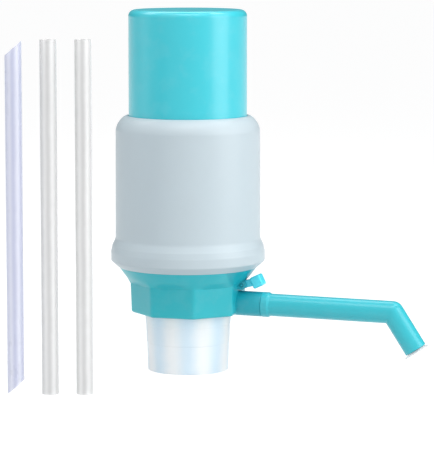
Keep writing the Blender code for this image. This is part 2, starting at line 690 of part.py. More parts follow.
def vent_lever(pivot, look):
    """Lever on its pin: a thumb head outside, and an arm to the plunger inside."""
    half = LEVER_WIDTH / 2
    lift = LEVER_ARM_HEIGHT / 2
    hub = cylinder(LEVER_HUB_RADIUS, -half, half, TINY_STEPS)
    sideways = Matrix.Rotation(math.pi / 2, 4, "X")
    lever = solid("vent_lever", hub, pivot, look=look, turn=sideways)
    inner = pivotReach - VENT_REACH
    tip = inner + VENT_STEM_RADIUS + SLOT_GAP
    arm = block((-tip, -LEVER_ARM_WIDTH / 2, -lift), (0, LEVER_ARM_WIDTH / 2, lift))
    join(lever, arm, "arm")
    branch_end = VENT_SIDE + VENT_FLANGE_RADIUS - SLOT_GAP
    branch = block((-tip, 0, -lift), (-tip + 2 * (tip - inner) + LEVER_ARM_HEIGHT, branch_end, lift))
    join(lever, branch, "branch")
    neck_root = LEVER_HUB_RADIUS * math.cos(LEVER_SLOPE)
    neck = slab([(0, -neck_root), (HEAD_REACH, -neck_root), (HEAD_REACH, neck_root), (0, neck_root)],
                -half, half)
    join(lever, neck, "neck", turn=Matrix.Rotation(-LEVER_SLOPE, 4, "Y"))
    head = block((-HEAD_LENGTH / 2, -HEAD_WIDTH / 2, -HEAD_THICKNESS / 2),
                 (HEAD_LENGTH / 2, HEAD_WIDTH / 2, HEAD_THICKNESS / 2))
    bmesh.ops.bevel(head, geom=head.edges[:], offset=HEAD_ROUNDING, segments=2, profile=0.5,
                    affect="EDGES")
    centre = (HEAD_REACH * math.cos(LEVER_SLOPE), 0, HEAD_REACH * math.sin(LEVER_SLOPE))
    join(lever, head, "head", centre, Matrix.Rotation(-HEAD_TILT, 4, "Y"))
    slot = VENT_STEM_RADIUS + SLOT_GAP
    fork = block((-tip - OVERRUN, VENT_SIDE - slot, -lift - OVERRUN),
                 (-inner + slot, VENT_SIDE + slot, lift + OVERRUN))
    cut(lever, fork, "fork")
    cut(lever, cylinder(PIN_RADIUS + GAP, -pinReach, pinReach, TINY_STEPS), "pin_hole", turn=sideways)
    return lever


def vent_pin(pivot, look):
    return solid("vent_pin", cylinder(PIN_RADIUS, -pinReach, pinReach, TINY_STEPS), pivot,
                 look=look, turn=Matrix.Rotation(math.pi / 2, 4, "X"))


def vent_plunger(valve, look):
    """Stem with a foot on the seal and a flange over the lever's fork."""
    foot = deckTopZ + GAP + SEAL_THICKNESS + GAP
    flange = vent_flange_z()
    flange_top = flange + VENT_FLANGE_THICKNESS
    top = guide_bottom() + VENT_GUIDE_ENTRY
    stem = VENT_STEM_RADIUS
    profile = [(0, top), (stem, top), (stem, flange_top), (VENT_FLANGE_RADIUS, flange_top)]
    profile += [(VENT_FLANGE_RADIUS, flange), (stem, flange), (stem, foot + VENT_FLANGE_THICKNESS)]
    profile += [(VENT_SEAL_RADIUS, foot + VENT_FLANGE_THICKNESS), (VENT_SEAL_RADIUS, foot), (0, foot)]
    return solid("vent_plunger", turned(profile, TINY_STEPS, closed=False), valve, look=look)


def vent_seal(valve, look):
    low = deckTopZ + GAP
    return solid("vent_seal", cylinder(VENT_SEAL_RADIUS, low, low + SEAL_THICKNESS, TINY_STEPS),
                 valve, look=look)


def vent_spring(valve, look):
    """Coil between the plunger's flange and the valve plate, round the plunger's guide."""
    half = SPRING_WIRE / 2
    low = vent_flange_z() + VENT_FLANGE_THICKNESS + GAP + half
    high = plateZ - GAP - half
    count = SPRING_TURNS * SPRING_STEPS
    points = []
    for n in range(count + 1):
        t = math.tau * n / SPRING_STEPS
        z = low + (high - low) * n / count
        points.append(Vector((SPRING_RADIUS * math.cos(t), SPRING_RADIUS * math.sin(t), z)))
    least = min((points[n] - points[n + SPRING_STEPS]).length for n in range(count - SPRING_STEPS + 1))
    print(f"vent_spring least gap {(least - SPRING_WIRE) / MM:.2f} mm")
    curve = bpy.data.curves.new("vent_spring", "CURVE")
    curve.dimensions = "3D"
    curve.bevel_depth = half
    curve.bevel_resolution = 1
    curve.use_fill_caps = True
    line = curve.splines.new("POLY")
    line.points.add(len(points) - 1)
    for spot, point in zip(line.points, points):
        spot.co = (*point, 1)
    curve.materials.append(look)
    spring = bpy.data.objects.new("vent_spring", curve)
    bpy.context.collection.objects.link(spring)
    spring.parent = valve
    return spring


def ring_groove(share):
    """Middle of a spout ring's groove, along the spout axis."""
    return BOSS_REACH - SOCKET_DEPTH * share


def spout_circle(reach, radius):
    """Ring of points round the arm at a distance along it."""
    turns = [math.tau * n / SMALL_STEPS for n in range(SMALL_STEPS)]
    return [(reach, radius * math.sin(t), radius * math.cos(t)) for t in turns]


def bend_circles(radius):
    """Rings round the mitred bend: rounded outside, a straight mitre line inside."""
    corner = Vector((SPOUT_REACH, 0, 0))
    mitre = Vector((math.sin(SPOUT_BEND / 2), 0, math.cos(SPOUT_BEND / 2)))
    circles = []
    for step in range(BEND_STEPS + 1):
        turn = SPOUT_BEND * step / BEND_STEPS
        outward = Vector((math.sin(turn), 0, math.cos(turn)))
        points = []
        for n in range(SMALL_STEPS):
            t = math.tau * n / SMALL_STEPS
            side = Vector((0, radius * math.sin(t), 0))
            if math.cos(t) > 0:
                points.append(corner + side + radius * math.cos(t) * outward)
            else:
                points.append(corner + side + radius * math.cos(t) / math.cos(SPOUT_BEND / 2) * mitre)
        circles.append(points)
    return circles


def outlet_circle(distance, radius):
    """Ring of points round the outlet leg at a distance down it from the corner."""
    down = Vector((math.cos(SPOUT_BEND), 0, -math.sin(SPOUT_BEND)))
    outward = Vector((math.sin(SPOUT_BEND), 0, math.cos(SPOUT_BEND)))
    centre = Vector((SPOUT_REACH, 0, 0)) + distance * down
    points = []
    for n in range(SMALL_STEPS):
        t = math.tau * n / SMALL_STEPS
        points.append(centre + Vector((0, radius * math.sin(t), 0)) + radius * math.cos(t) * outward)
    return points


def spout_tube(axis, look):
    """Arm with a grooved spigot, a collar and a mitred outlet leg, hollow all the way."""
    start = BOSS_REACH - SOCKET_DEPTH + SLOT_GAP
    collar = BOSS_REACH + GAP
    collar_end = collar + SPOUT_COLLAR_LENGTH
    groove = SPOUT_SPIGOT_RADIUS - RING_THICKNESS - GAP / 3
    half = RING_THICKNESS / 2 + GAP
    outer = [(start, SPOUT_SPIGOT_RADIUS - OUTLET_EDGE), (start + OUTLET_EDGE, SPOUT_SPIGOT_RADIUS)]
    for share in sorted(RING_FROM_MOUTH_SHARES, reverse=True):
        middle = ring_groove(share)
        outer += [(middle - half, SPOUT_SPIGOT_RADIUS), (middle - half, groove)]
        outer += [(middle + half, groove), (middle + half, SPOUT_SPIGOT_RADIUS)]
    outer += [(collar, SPOUT_SPIGOT_RADIUS), (collar, SPOUT_COLLAR_RADIUS - OUTLET_EDGE)]
    outer += [(collar + OUTLET_EDGE, SPOUT_COLLAR_RADIUS), (collar_end, SPOUT_COLLAR_RADIUS)]
    outer += [(collar_end + SPOUT_CHAMFER, SPOUT_RADIUS)]
    rings = [spout_circle(reach, radius) for reach, radius in outer]
    rings += bend_circles(SPOUT_RADIUS)
    rings += [outlet_circle(OUTLET_LENGTH - OUTLET_EDGE, SPOUT_RADIUS)]
    rings += [outlet_circle(OUTLET_LENGTH, SPOUT_RADIUS - OUTLET_EDGE)]
    rings += [outlet_circle(OUTLET_LENGTH, SPOUT_BORE)]
    rings += bend_circles(SPOUT_BORE)[::-1]
    rings += [spout_circle(collar_end, SPOUT_BORE), spout_circle(collar, SPOUT_WATER_BORE)]
    rings += [spout_circle(start, SPOUT_WATER_BORE)]
    return solid("spout_tube", skinned(rings, "joined"), axis, look=look)


def spout_rings(axis, look):
    """Two rubber rings in the spigot's grooves."""
    middle = SPOUT_SPIGOT_RADIUS - RING_THICKNESS / 2 + GAP / 3
    profile = arc(middle, 0, RING_THICKNESS / 2, 0, -math.tau, RING_SIDES)[:-1]
    for name, share in zip(("outer", "inner"), RING_FROM_MOUTH_SHARES):
        turn = Matrix.Rotation(math.pi / 2, 4, "Y")
        form = turned(profile, SMALL_STEPS)
        solid(f"spout_o_ring_{name}", form, axis, (ring_groove(share), 0, 0), look, turn)


def outlet_plug(outlet, look):
    """Dust plug: a thin disc just off the outlet, on a hollow stem that sits in the bore."""
    stem = SPOUT_BORE - GAP
    disc = PLUG_STANDOFF
    profile = [(0, disc + PLUG_THICKNESS), (PLUG_RADIUS, disc + PLUG_THICKNESS), (PLUG_RADIUS, disc)]
    profile += [(SPOUT_RADIUS - OUTLET_EDGE, disc), (SPOUT_RADIUS - OUTLET_EDGE, GAP), (stem, GAP)]
    profile += [(stem, -PLUG_LENGTH), (stem - PLUG_WALL, -PLUG_LENGTH), (stem - PLUG_WALL, disc)]
    profile += [(0, disc)]
    return solid("outlet_plug", turned(profile, SMALL_STEPS, closed=False), outlet, look=look)


def straight_tube(name, stand, look):
    form = ring(TUBE_RADIUS, TUBE_RADIUS - TUBE_WALL, 0, TUBE_LENGTH)
    return solid(name, form, stand, look=look)


def slanted_tube(stand, look):
    """Soft tube whose two ends are cut at the same slant, rising to the right."""
    rise = math.tan(SLANT)
    rings = []
    for radius, high in ((TUBE_RADIUS, 0), (TUBE_RADIUS, 1), (TUBE_RADIUS - TUBE_WALL, 1),
                         (TUBE_RADIUS - TUBE_WALL, 0)):
        points = []
        for n in range(SMALL_STEPS):
            t = math.tau * n / SMALL_STEPS
            x = radius * math.cos(t)
            low = (x + TUBE_RADIUS) * rise
            points.append((x, radius * math.sin(t), low + high * SLANTED_TUBE_LENGTH))
        rings.append(points)
    return solid("suction_tube_slanted", skinned(rings, "joined"), stand, look=look)


def centre_on_floor(root):
    """Move the whole set so that the origin is under its middle, on the floor."""
    now = bpy.context.evaluated_depsgraph_get()
    spots = []
    for thing in bpy.data.objects:
        if thing.type == "MESH" and not thing.hide_render:
            shape = thing.evaluated_get(now)
            spots += [shape.matrix_world @ corner.co for corner in shape.data.vertices]
    for axis in range(2):
        places = [spot[axis] for spot in spots]
        root.location[axis] -= (min(places) + max(places)) / 2


def main():
    clear_scene()
    teal = (64, 190, 205)
    deep_teal = (45, 172, 187)
    root = empty("pump_axis", (0, 0, 0))
    plane = empty("spout_plane", (0, 0, 0), root, Matrix.Rotation(-SPOUT_YAW, 4, "Z"))

    rubber = (58, 60, 62)
    press_cap(root, finish("cap_teal", teal, 0.3))
    bellows_top_plate(root, finish("top_plate_white", (226, 230, 232), 0.5))
    flap("intake_flap", root, (0, 0, topPlateZ - GAP), INTAKE_FLAP_RADIUS, INTAKE_FLAP_THICKNESS,
         INTAKE_STEM_RADIUS, finish("intake_rubber", rubber, 0.8))
    bellows(root, finish("bellows_rubber", (208, 212, 214), 0.6))
    pump_body(root, finish("body_white", (205, 218, 226), 0.35))
    valve_plate(plane, finish("valve_plate_white", (226, 230, 232), 0.5))
    flap("outlet_flap", plane, (-DUCT_REACH, 0, plateZ - GAP), OUTLET_FLAP_RADIUS,
         OUTLET_FLAP_THICKNESS, OUTLET_STEM_RADIUS, finish("outlet_rubber", rubber, 0.8))
    duct_seal(plane, finish("duct_seal_rubber", rubber, 0.8))
    base_collar(plane, finish("collar_teal", deep_teal, 0.32))
    tube_bush(plane, finish("bush_rubber", (200, 206, 210), 0.7))
    neck_gasket(plane, finish("gasket_rubber", (214, 218, 220), 0.7))
    neck_sleeve(plane, finish("sleeve_frosted", (222, 232, 244), 0.45, see_through=0.6))

    pivot = empty("vent_pivot", (pivotReach, 0, pivotZ), plane)
    vent_lever(pivot, finish("lever_teal", teal, 0.35))
    vent_pin(pivot, finish("pin_teal", deep_teal, 0.35))
    valve = empty("vent_valve", (VENT_REACH, VENT_SIDE, 0), plane)
    vent_plunger(valve, finish("plunger_white", (226, 230, 232), 0.5))
    vent_seal(valve, finish("vent_seal_rubber", rubber, 0.8))
    vent_spring(valve, finish("spring_steel", (180, 182, 186), 0.3, metallic=1.0))

    axis = empty("spout_axis", (0, 0, skirtZ + SPOUT_RISE), plane,
                 Matrix.Rotation(SPOUT_DROOP, 4, "Y"))
    spout_tube(axis, finish("spout_teal", teal, 0.32))
    spout_rings(axis, finish("spout_ring_rubber", rubber, 0.8))
    down = Vector((math.cos(SPOUT_BEND), 0, -math.sin(SPOUT_BEND)))
    outlet = empty("outlet_end", Vector((SPOUT_REACH, 0, 0)) + OUTLET_LENGTH * down, axis,
                   Matrix.Rotation(math.pi / 2 + SPOUT_BEND, 4, "Y"))
    outlet_plug(outlet, finish("plug_clear", (226, 234, 238), 0.35, see_through=0.7))

    for n, name in enumerate(("suction_tube_b", "suction_tube_a")):
        stand = empty(f"{name}_stand", (-TUBE_NEAREST_LEFT - n * TUBE_PITCH, -TUBE_FRONT, 0), root)
        straight_tube(name, stand, finish(f"{name}_frosted", (224, 226, 228), 0.4, see_through=0.6))
    stand = empty("slanted_stand", (-TUBE_NEAREST_LEFT - 2 * TUBE_PITCH, -TUBE_FRONT, 0), root)
    slanted_tube(stand, finish("soft_tube_blue", (206, 212, 230), 0.35, see_through=0.6))
    centre_on_floor(root)


main()
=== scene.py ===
# Hand pump kit for drinking water, dressed for a plain studio picture: press cap, white body,
# faceted collar with its vent lever, turning spout, neck sleeve and three loose suction tubes.
import json
import math

import bmesh
import bpy
from mathutils import Matrix, Vector


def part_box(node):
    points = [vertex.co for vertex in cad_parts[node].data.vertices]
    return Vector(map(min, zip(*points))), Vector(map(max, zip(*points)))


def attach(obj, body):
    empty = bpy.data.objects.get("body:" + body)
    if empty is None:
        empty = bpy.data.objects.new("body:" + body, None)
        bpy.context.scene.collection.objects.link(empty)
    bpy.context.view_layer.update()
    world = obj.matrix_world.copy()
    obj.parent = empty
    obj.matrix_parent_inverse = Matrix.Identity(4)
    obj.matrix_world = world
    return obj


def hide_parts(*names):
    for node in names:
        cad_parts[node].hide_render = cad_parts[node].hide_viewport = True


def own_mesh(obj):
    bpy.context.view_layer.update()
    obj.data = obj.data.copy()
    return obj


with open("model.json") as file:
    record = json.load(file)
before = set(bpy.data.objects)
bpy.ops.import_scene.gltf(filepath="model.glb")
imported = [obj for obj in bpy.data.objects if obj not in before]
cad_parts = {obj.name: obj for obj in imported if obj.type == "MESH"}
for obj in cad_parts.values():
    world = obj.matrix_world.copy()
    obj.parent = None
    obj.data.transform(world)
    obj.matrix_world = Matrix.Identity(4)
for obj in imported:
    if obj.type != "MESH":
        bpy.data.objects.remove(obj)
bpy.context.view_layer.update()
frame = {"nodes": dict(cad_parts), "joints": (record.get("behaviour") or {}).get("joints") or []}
print("frame loaded:", len(frame["nodes"]), "nodes")

mm = 0.001
weld = 0.001 * mm
mergeReach = 12 * weld  # points that a Boolean leaves closer than this become one
straightTurn = 0.01  # a corner that turns by less than this stays a plain point
overrun = 2 * mm  # how far a cutting shape passes the surface that it opens
crispEdge = 0.1 * mm
fineEdge = 0.2 * mm
smallEdge = 0.3 * mm
softEdge = 0.4 * mm
roundEdge = 0.5 * mm
sharpAngle = math.radians(38)  # faces that meet at less than this are shaded as one
bevelAngle = math.radians(50)  # edges that turn by more than this get rounded

# Places that every piece is built from, read off the frame
capLow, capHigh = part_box("press_cap")
bodyLow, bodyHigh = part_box("pump_body")
axisX = (capLow.x + capHigh.x) / 2
axisY = (capLow.y + capHigh.y) / 2
capTop = capHigh.z
mouthTop = bodyHigh.z
bodyFoot = bodyLow.z
spoutYaw = math.radians(16.5)
spoutDroop = math.radians(1)
spoutRise = 45.9 * mm  # height of the spout axis where it crosses the pump axis
onAxis = Matrix.Translation((axisX, axisY, 0))
inSpoutPlane = onAxis @ Matrix.Rotation(-spoutYaw, 4, "Z")
alongSpout = inSpoutPlane @ Matrix.Translation((0, 0, spoutRise)) @ Matrix.Rotation(spoutDroop, 4, "Y")


# A socket with Python's operators: each one adds a Math node to the socket's tree
class Wire:
    def __init__(self, nodes, socket):
        self.nodes = nodes
        self.socket = socket

    def maths(self, operation, first, second=0.0):
        return self.nodes.add("ShaderNodeMath", {"operation": operation}, {0: first, 1: second})

    def __add__(self, other):
        return self.maths("ADD", self, other)

    def __radd__(self, other):
        return self.maths("ADD", other, self)

    def __sub__(self, other):
        return self.maths("SUBTRACT", self, other)

    def __rsub__(self, other):
        return self.maths("SUBTRACT", other, self)

    def __mul__(self, other):
        return self.maths("MULTIPLY", self, other)

    def __rmul__(self, other):
        return self.maths("MULTIPLY", other, self)

    def __truediv__(self, other):
        return self.maths("DIVIDE", self, other)

    def __rtruediv__(self, other):
        return self.maths("DIVIDE", other, self)


# A node tree with one method that makes any node: type, settings first, then sockets
class Nodes:
    def __init__(self, tree):
        self.tree = tree

    def add(self, kind, settings=None, sockets=None, output=0):
        node = self.tree.nodes.new(kind)
        for name, value in (settings or {}).items():
            setattr(node, name, value)
        for key, value in (sockets or {}).items():
            if isinstance(value, Wire):
                self.tree.links.new(value.socket, node.inputs[key])
            else:
                node.inputs[key].default_value = value
        return Wire(self, node.outputs[output]) if len(node.outputs) else node


def screenColour(red, green, blue):
    # 0 to 255 on a screen, made linear for a shader
    shares = [value / 255 for value in (red, green, blue)]
    return tuple(s / 12.92 if s <= 0.04045 else ((s + 0.055) / 1.055) ** 2.4 for s in shares) + (1,)


def startMaterial(name):
    material = bpy.data.materials.new(name)
    material.use_nodes = True
    material.node_tree.nodes.clear()
    return material, Nodes(material.node_tree)


def noise(nodes, place, scale, detail=2.0, roughness=0.5, stretch=(1, 1, 1)):
    # Noise on the object's own coordinates, centred on the pump axis, its scale per metre
    spot = nodes.add("ShaderNodeMapping", None, {"Vector": place, "Location": (-axisX, -axisY, 0),
                                                 "Scale": stretch})
    return nodes.add("ShaderNodeTexNoise", None, {"Vector": spot, "Scale": scale, "Detail": detail,
                                                  "Roughness": roughness})


def ramp(nodes, value, low, high):
    # 0 below low, 1 above high, smooth between
    return nodes.add("ShaderNodeMapRange", {"interpolation_type": "SMOOTHSTEP"},
                     {"Value": value, "From Min": low, "From Max": high})


def mixColours(nodes, share, low, high):
    return nodes.add("ShaderNodeMix", {"data_type": "RGBA"}, {0: share, 6: low, 7: high}, 2)


def bumped(nodes, height, strength):
    # The height comes in metres, so the node's own distance stays 1
    return nodes.add("ShaderNodeBump", None, {"Strength": strength, "Distance": 1.0, "Height": height})


def surface(nodes, sockets):
    shader = nodes.add("ShaderNodeBsdfPrincipled", None, sockets)
    nodes.add("ShaderNodeOutputMaterial", None, {"Surface": shader})


def moulded(name, spec):
    # Injection moulded plastic: cloudy colour, fine grain, drawn flow marks, rubbed and dusty patches
    material, nodes = startMaterial(name)
    place = nodes.add("ShaderNodeTexCoord", output="Object")
    cloud = noise(nodes, place, spec["cloudScale"], 3.0, 0.6)
    grain = noise(nodes, place, spec["grainScale"], 2.0)
    flow = noise(nodes, place, spec["flowScale"], 3.0, 0.5, spec["flowStretch"])
    patches = noise(nodes, place, spec["handledScale"], 4.0, 0.62)
    handled = ramp(nodes, patches, *spec["handledRange"])
    scratches = noise(nodes, place, spec["hairlineScale"], 1.0, 0.4, spec["hairlineStretch"])
    hairlines = ramp(nodes, scratches, *spec["hairlineRange"])
    tint = mixColours(nodes, cloud, spec["shade"], spec["colour"])
    # Painted shade: past the given reach from the pump axis towards the spout, the collar turns a darker teal,
    # as the socket side falls in shade
    if "paintedShadeColour" in spec:
        fromAxis = nodes.add("ShaderNodeVectorMath", {"operation": "SUBTRACT"},
                             {0: place, 1: (axisX, axisY, 0)})
        reach = nodes.add("ShaderNodeVectorMath", {"operation": "DOT_PRODUCT"},
                          {0: fromAxis, 1: (math.cos(spoutYaw), -math.sin(spoutYaw), 0)}, "Value")
        tint = mixColours(nodes, ramp(nodes, reach, *spec["paintedShadeReach"]), tint, spec["paintedShadeColour"])
    rough = (spec["roughness"] + (cloud - 0.5) * spec["cloudRough"] + handled * spec["rubbed"]
             + hairlines * spec["hairlineRough"])
    height = grain * spec["grainDepth"] + flow * spec["flowDepth"] - hairlines * spec["hairlineDepth"]
    surface(nodes, {
        "Base Color": mixColours(nodes, handled * spec["dust"], tint, spec["dustColour"]),
        "Roughness": rough, "Normal": bumped(nodes, height, spec["bump"]), "IOR": spec["ior"],
        "Coat Weight": spec["coat"], "Coat Roughness": spec["coatRoughness"]})
    return material


plasticBase = {
    "cloudScale": 34.0, "grainScale": 2600.0, "flowScale": 620.0, "flowStretch": (1, 1, 0.04),
    "handledScale": 75.0, "handledRange": (0.46, 0.68), "hairlineScale": 900.0,
    "hairlineStretch": (0.06, 1, 0.35), "hairlineRange": (0.69, 0.74), "grainDepth": 0.012 * mm,
    "flowDepth": 0.010 * mm, "hairlineDepth": 0.006 * mm, "bump": 0.6, "dust": 0.03,
    "dustColour": screenColour(214, 222, 226), "roughness": 0.34, "cloudRough": 0.05, "rubbed": 0.06,
    "hairlineRough": 0.1, "ior": 1.46, "coat": 0.0, "coatRoughness": 0.12,
}
tealPlastic = moulded("tealPlastic", {
    **plasticBase, "colour": screenColour(54, 203, 217), "shade": screenColour(50, 197, 212),
    "coat": 0.6, "coatRoughness": 0.24})
collarPlastic = moulded("collarPlastic", {
    **plasticBase, "colour": screenColour(36, 188, 200), "shade": screenColour(32, 181, 193),
    # painted shade: a darker teal on the spout side of the collar
    "coat": 0.15, "roughness": 0.36, "paintedShadeReach": (34 * mm, 35.6 * mm),
    "paintedShadeColour": screenColour(16, 170, 186)})
spoutPlastic = moulded("spoutPlastic", {
    **plasticBase, "colour": screenColour(48, 190, 204), "shade": screenColour(44, 184, 198),
    "coat": 0.3, "coatRoughness": 0.2})
# Painted light: a lighter copy of the cap's teal plastic for the vent lever, which is the same plastic
litLeverPlastic = moulded("litLeverPlastic", {
    **plasticBase, "colour": screenColour(78, 232, 252), "shade": screenColour(72, 226, 246),
    "coat": 0.4, "coatRoughness": 0.22})
whitePlastic = moulded("whitePlastic", {
    **plasticBase, "colour": screenColour(194, 208, 215), "shade": screenColour(190, 204, 211),
    "dustColour": screenColour(190, 194, 192), "roughness": 0.4, "coat": 0.1})
innerPlastic = moulded("innerPlastic", {
    **plasticBase, "colour": screenColour(228, 232, 233), "shade": screenColour(221, 226, 228),
    "dustColour": screenColour(196, 198, 196), "roughness": 0.5})


def rubber(name, spec):
    # Soft moulded rubber: matt, with a pebbled skin, bloom in patches and a few pale specks
    material, nodes = startMaterial(name)
    place = nodes.add("ShaderNodeTexCoord", output="Object")
    pebble = noise(nodes, place, spec["pebbleScale"], 3.0, 0.55)
    bloom = ramp(nodes, noise(nodes, place, spec["bloomScale"], 4.0, 0.65), *spec["bloomRange"])
    specks = ramp(nodes, noise(nodes, place, spec["speckScale"], 0.0), *spec["speckRange"])
    tint = mixColours(nodes, bloom, spec["colour"], spec["bloom"])
    surface(nodes, {
        "Base Color": mixColours(nodes, specks * spec["speckShare"], tint, spec["speck"]),
        "Roughness": spec["roughness"] + bloom * spec["bloomRough"],
        "Normal": bumped(nodes, pebble * spec["pebbleDepth"], spec["bump"]),
        "Subsurface Weight": spec["subsurface"], "Subsurface Scale": 1 * mm})
    return material


rubberBase = {"bloomRange": (0.42, 0.7), "bloomRough": 0.12, "speckRange": (0.74, 0.8),
              "speckShare": 0.3, "bump": 0.7}
darkRubber = rubber("darkRubber", {
    **rubberBase, "colour": screenColour(44, 46, 48), "bloom": screenColour(66, 68, 70),
    "speck": screenColour(150, 150, 148), "pebbleScale": 1900.0, "bloomScale": 160.0,
    "speckScale": 1400.0, "pebbleDepth": 0.03 * mm, "roughness": 0.62, "subsurface": 0.0})
paleRubber = rubber("paleRubber", {
    **rubberBase, "colour": screenColour(212, 218, 222), "bloom": screenColour(224, 229, 232),
    "speck": screenColour(170, 174, 176), "pebbleScale": 1700.0, "bloomScale": 110.0,
    "speckScale": 1300.0, "pebbleDepth": 0.025 * mm, "roughness": 0.52, "subsurface": 0.15})


def frosted(name, spec):
    # Thin frosted plastic: lets light through, milky, with drawn lines and a cloudy skin, and painted
    # lengthwise bands of reflection around it
    material, nodes = startMaterial(name)
    place = nodes.add("ShaderNodeTexCoord", output="Object")
    within = nodes.add("ShaderNodeTexCoord", output="Generated")
    across = nodes.add("ShaderNodeSeparateXYZ", None, {"Vector": within}, "X") - 0.5
    ahead = 0.5 - nodes.add("ShaderNodeSeparateXYZ", None, {"Vector": within}, "Y")
    milk = noise(nodes, place, spec["milkScale"], 3.0, 0.6)
    lines = noise(nodes, place, spec["lineScale"], 3.0, 0.6, spec["lineStretch"])
    skin = noise(nodes, place, spec["skinScale"], 2.0)
    # Painted reflection: light and dark bands by the angle around the piece's middle, as if its inner walls
    # shone through; they also thin the cover a little
    around = across.maths("ARCTAN2", across, ahead) + (milk - 0.5) * spec["paintedBandWander"]
    paintedBands = 0.5 - 0.5 * around.maths("COSINE", around * spec["paintedBands"])
    share = milk * spec["milkShare"] + lines * spec["lineShare"] + paintedBands * spec["paintedBandShare"]
    height = lines * spec["lineDepth"] + skin * spec["skinDepth"]
    surface(nodes, {
        "Base Color": mixColours(nodes, share, spec["shade"], spec["colour"]),
        "Roughness": (spec["roughness"] + (milk - 0.5) * spec["milkRough"]
                      + (lines - 0.5) * spec["lineRough"]),
        "Alpha": spec["cover"] + (milk - 0.5) * spec["milkClear"] - (paintedBands - 0.5) * spec["paintedBandClear"],
        "Normal": bumped(nodes, height, spec["bump"]), "IOR": spec["ior"],
        # Painted light: a faint glow in the surface's own colour, as if backdrop light came through the thin
        # wall
        "Transmission Weight": spec["transmission"], "Emission Color": spec["colour"],
        "Emission Strength": spec["paintedGlow"]})
    return material


# The band numbers below set the painted reflection bands
frostedBase = {
    "lineStretch": (1, 1, 0.02), "milkShare": 0.1, "lineShare": 0.15, "paintedBandShare": 0.75,
    "milkRough": 0.16, "lineRough": 0.1, "milkClear": 0.05, "bump": 0.5,
}
frostedSleeve = frosted("frostedSleeve", {
    **frostedBase, "colour": screenColour(254, 255, 255), "shade": screenColour(212, 234, 248),
    "paintedBands": 8, "paintedBandWander": 0.2, "paintedBandClear": 0.06, "milkScale": 60.0, "lineScale": 900.0,
    "skinScale": 1800.0, "lineDepth": 0.02 * mm, "skinDepth": 0.02 * mm, "roughness": 0.46,
    "cover": 0.92, "transmission": 0.06, "ior": 1.4, "paintedGlow": 0.08})
frostedTube = frosted("frostedTube", {
    **frostedBase, "colour": screenColour(252, 252, 252), "shade": screenColour(208, 208, 208),
    "paintedBands": 6, "paintedBandWander": 0.2, "paintedBandClear": 0.08, "milkScale": 90.0, "lineScale": 1500.0,
    "skinScale": 2200.0, "lineDepth": 0.02 * mm, "skinDepth": 0.015 * mm, "roughness": 0.42,
    "cover": 0.63, "transmission": 0.06, "ior": 1.42, "paintedGlow": 0.08})
softTube = frosted("softTube", {
    **frostedBase, "colour": screenColour(240, 242, 252), "shade": screenColour(194, 198, 222),
    "paintedBands": 6, "paintedBandWander": 0.2, "paintedBandClear": 0.08, "milkScale": 70.0, "lineScale": 1300.0,
    "skinScale": 2000.0, "lineDepth": 0.012 * mm, "skinDepth": 0.012 * mm, "roughness": 0.3,
    "cover": 0.64, "transmission": 0.06, "ior": 1.42, "paintedGlow": 0.1})
clearPlug = frosted("clearPlug", {
    **frostedBase, "colour": screenColour(236, 242, 245), "shade": screenColour(222, 231, 236),
    "paintedBands": 6, "paintedBandWander": 0.3, "paintedBandClear": 0.04, "milkScale": 120.0, "lineScale": 1200.0,
    "skinScale": 2400.0, "lineDepth": 0.01 * mm, "skinDepth": 0.012 * mm, "roughness": 0.3,
    "cover": 0.62, "transmission": 0.2, "ior": 1.46, "paintedGlow": 0.0})


def drawnSteel(name, spec):
    # Drawn wire: fine lines, slightly uneven sheen
    material, nodes = startMaterial(name)
    place = nodes.add("ShaderNodeTexCoord", output="Object")
    lines = noise(nodes, place, spec["lineScale"], 3.0, 0.6, spec["lineStretch"])
    patches = noise(nodes, place, spec["patchScale"], 3.0, 0.6)
    surface(nodes, {
        "Base Color": mixColours(nodes, patches, spec["shade"], spec["colour"]), "Metallic": 1.0,
        "Normal": bumped(nodes, lines * spec["lineDepth"], spec["bump"]),
        "Roughness": (spec["roughness"] + (lines - 0.5) * spec["lineRough"]
                      + (patches - 0.5) * spec["patchRough"])})
    return material


springSteel = drawnSteel("springSteel", {
    "colour": screenColour(202, 204, 208), "shade": screenColour(176, 179, 184), "lineScale": 5200.0,
    "lineStretch": (1, 1, 0.1), "lineDepth": 0.008 * mm, "lineRough": 0.14, "patchScale": 420.0,
    "patchRough": 0.1, "bump": 0.5, "roughness": 0.27})
print("finishes ready")


def rounded(corners, steps, closed=True):
    # Corners are (x, z, radius): each one with a radius becomes an arc that meets both its sides
    points = []
    for n, (x, z, radius) in enumerate(corners):
        here = Vector((x, z))
        back = (Vector(corners[n - 1][:2]) - here).normalized()
        ahead = (Vector(corners[(n + 1) % len(corners)][:2]) - here).normalized()
        ends = not closed and n in (0, len(corners) - 1)
        if radius == 0 or ends or (back + ahead).length < straightTurn:
            points.append(tuple(here))
            continue
        half = back.angle(ahead) / 2
        centre = here + (back + ahead).normalized() * radius / math.sin(half)
        first = (here + back * radius / math.tan(half) - centre).normalized()
        last = (here + ahead * radius / math.tan(half) - centre).normalized()
        for k in range(steps + 1):
            points.append(tuple(centre + radius * first.slerp(last, k / steps)))
    return points


def turned(outline, steps, closed=True):
    # Spin an outline of (radius, height) about Z
    form = bmesh.new()
    spots = [form.verts.new((radius, 0, height)) for radius, height in outline]
    last = len(spots) if closed else len(spots) - 1
    for n in range(last):
        form.edges.new((spots[n], spots[(n + 1) % len(spots)]))
    bmesh.ops.spin(form, geom=form.verts[:] + form.edges[:], cent=(0, 0, 0), axis=(0, 0, 1),
                   angle=math.tau, steps=steps, use_merge=True)
    return form


def spun(corners, around, steps):
    # A solid of turning whose outline starts and ends on the axis
    return turned(rounded(corners, steps, closed=False), around, closed=False)


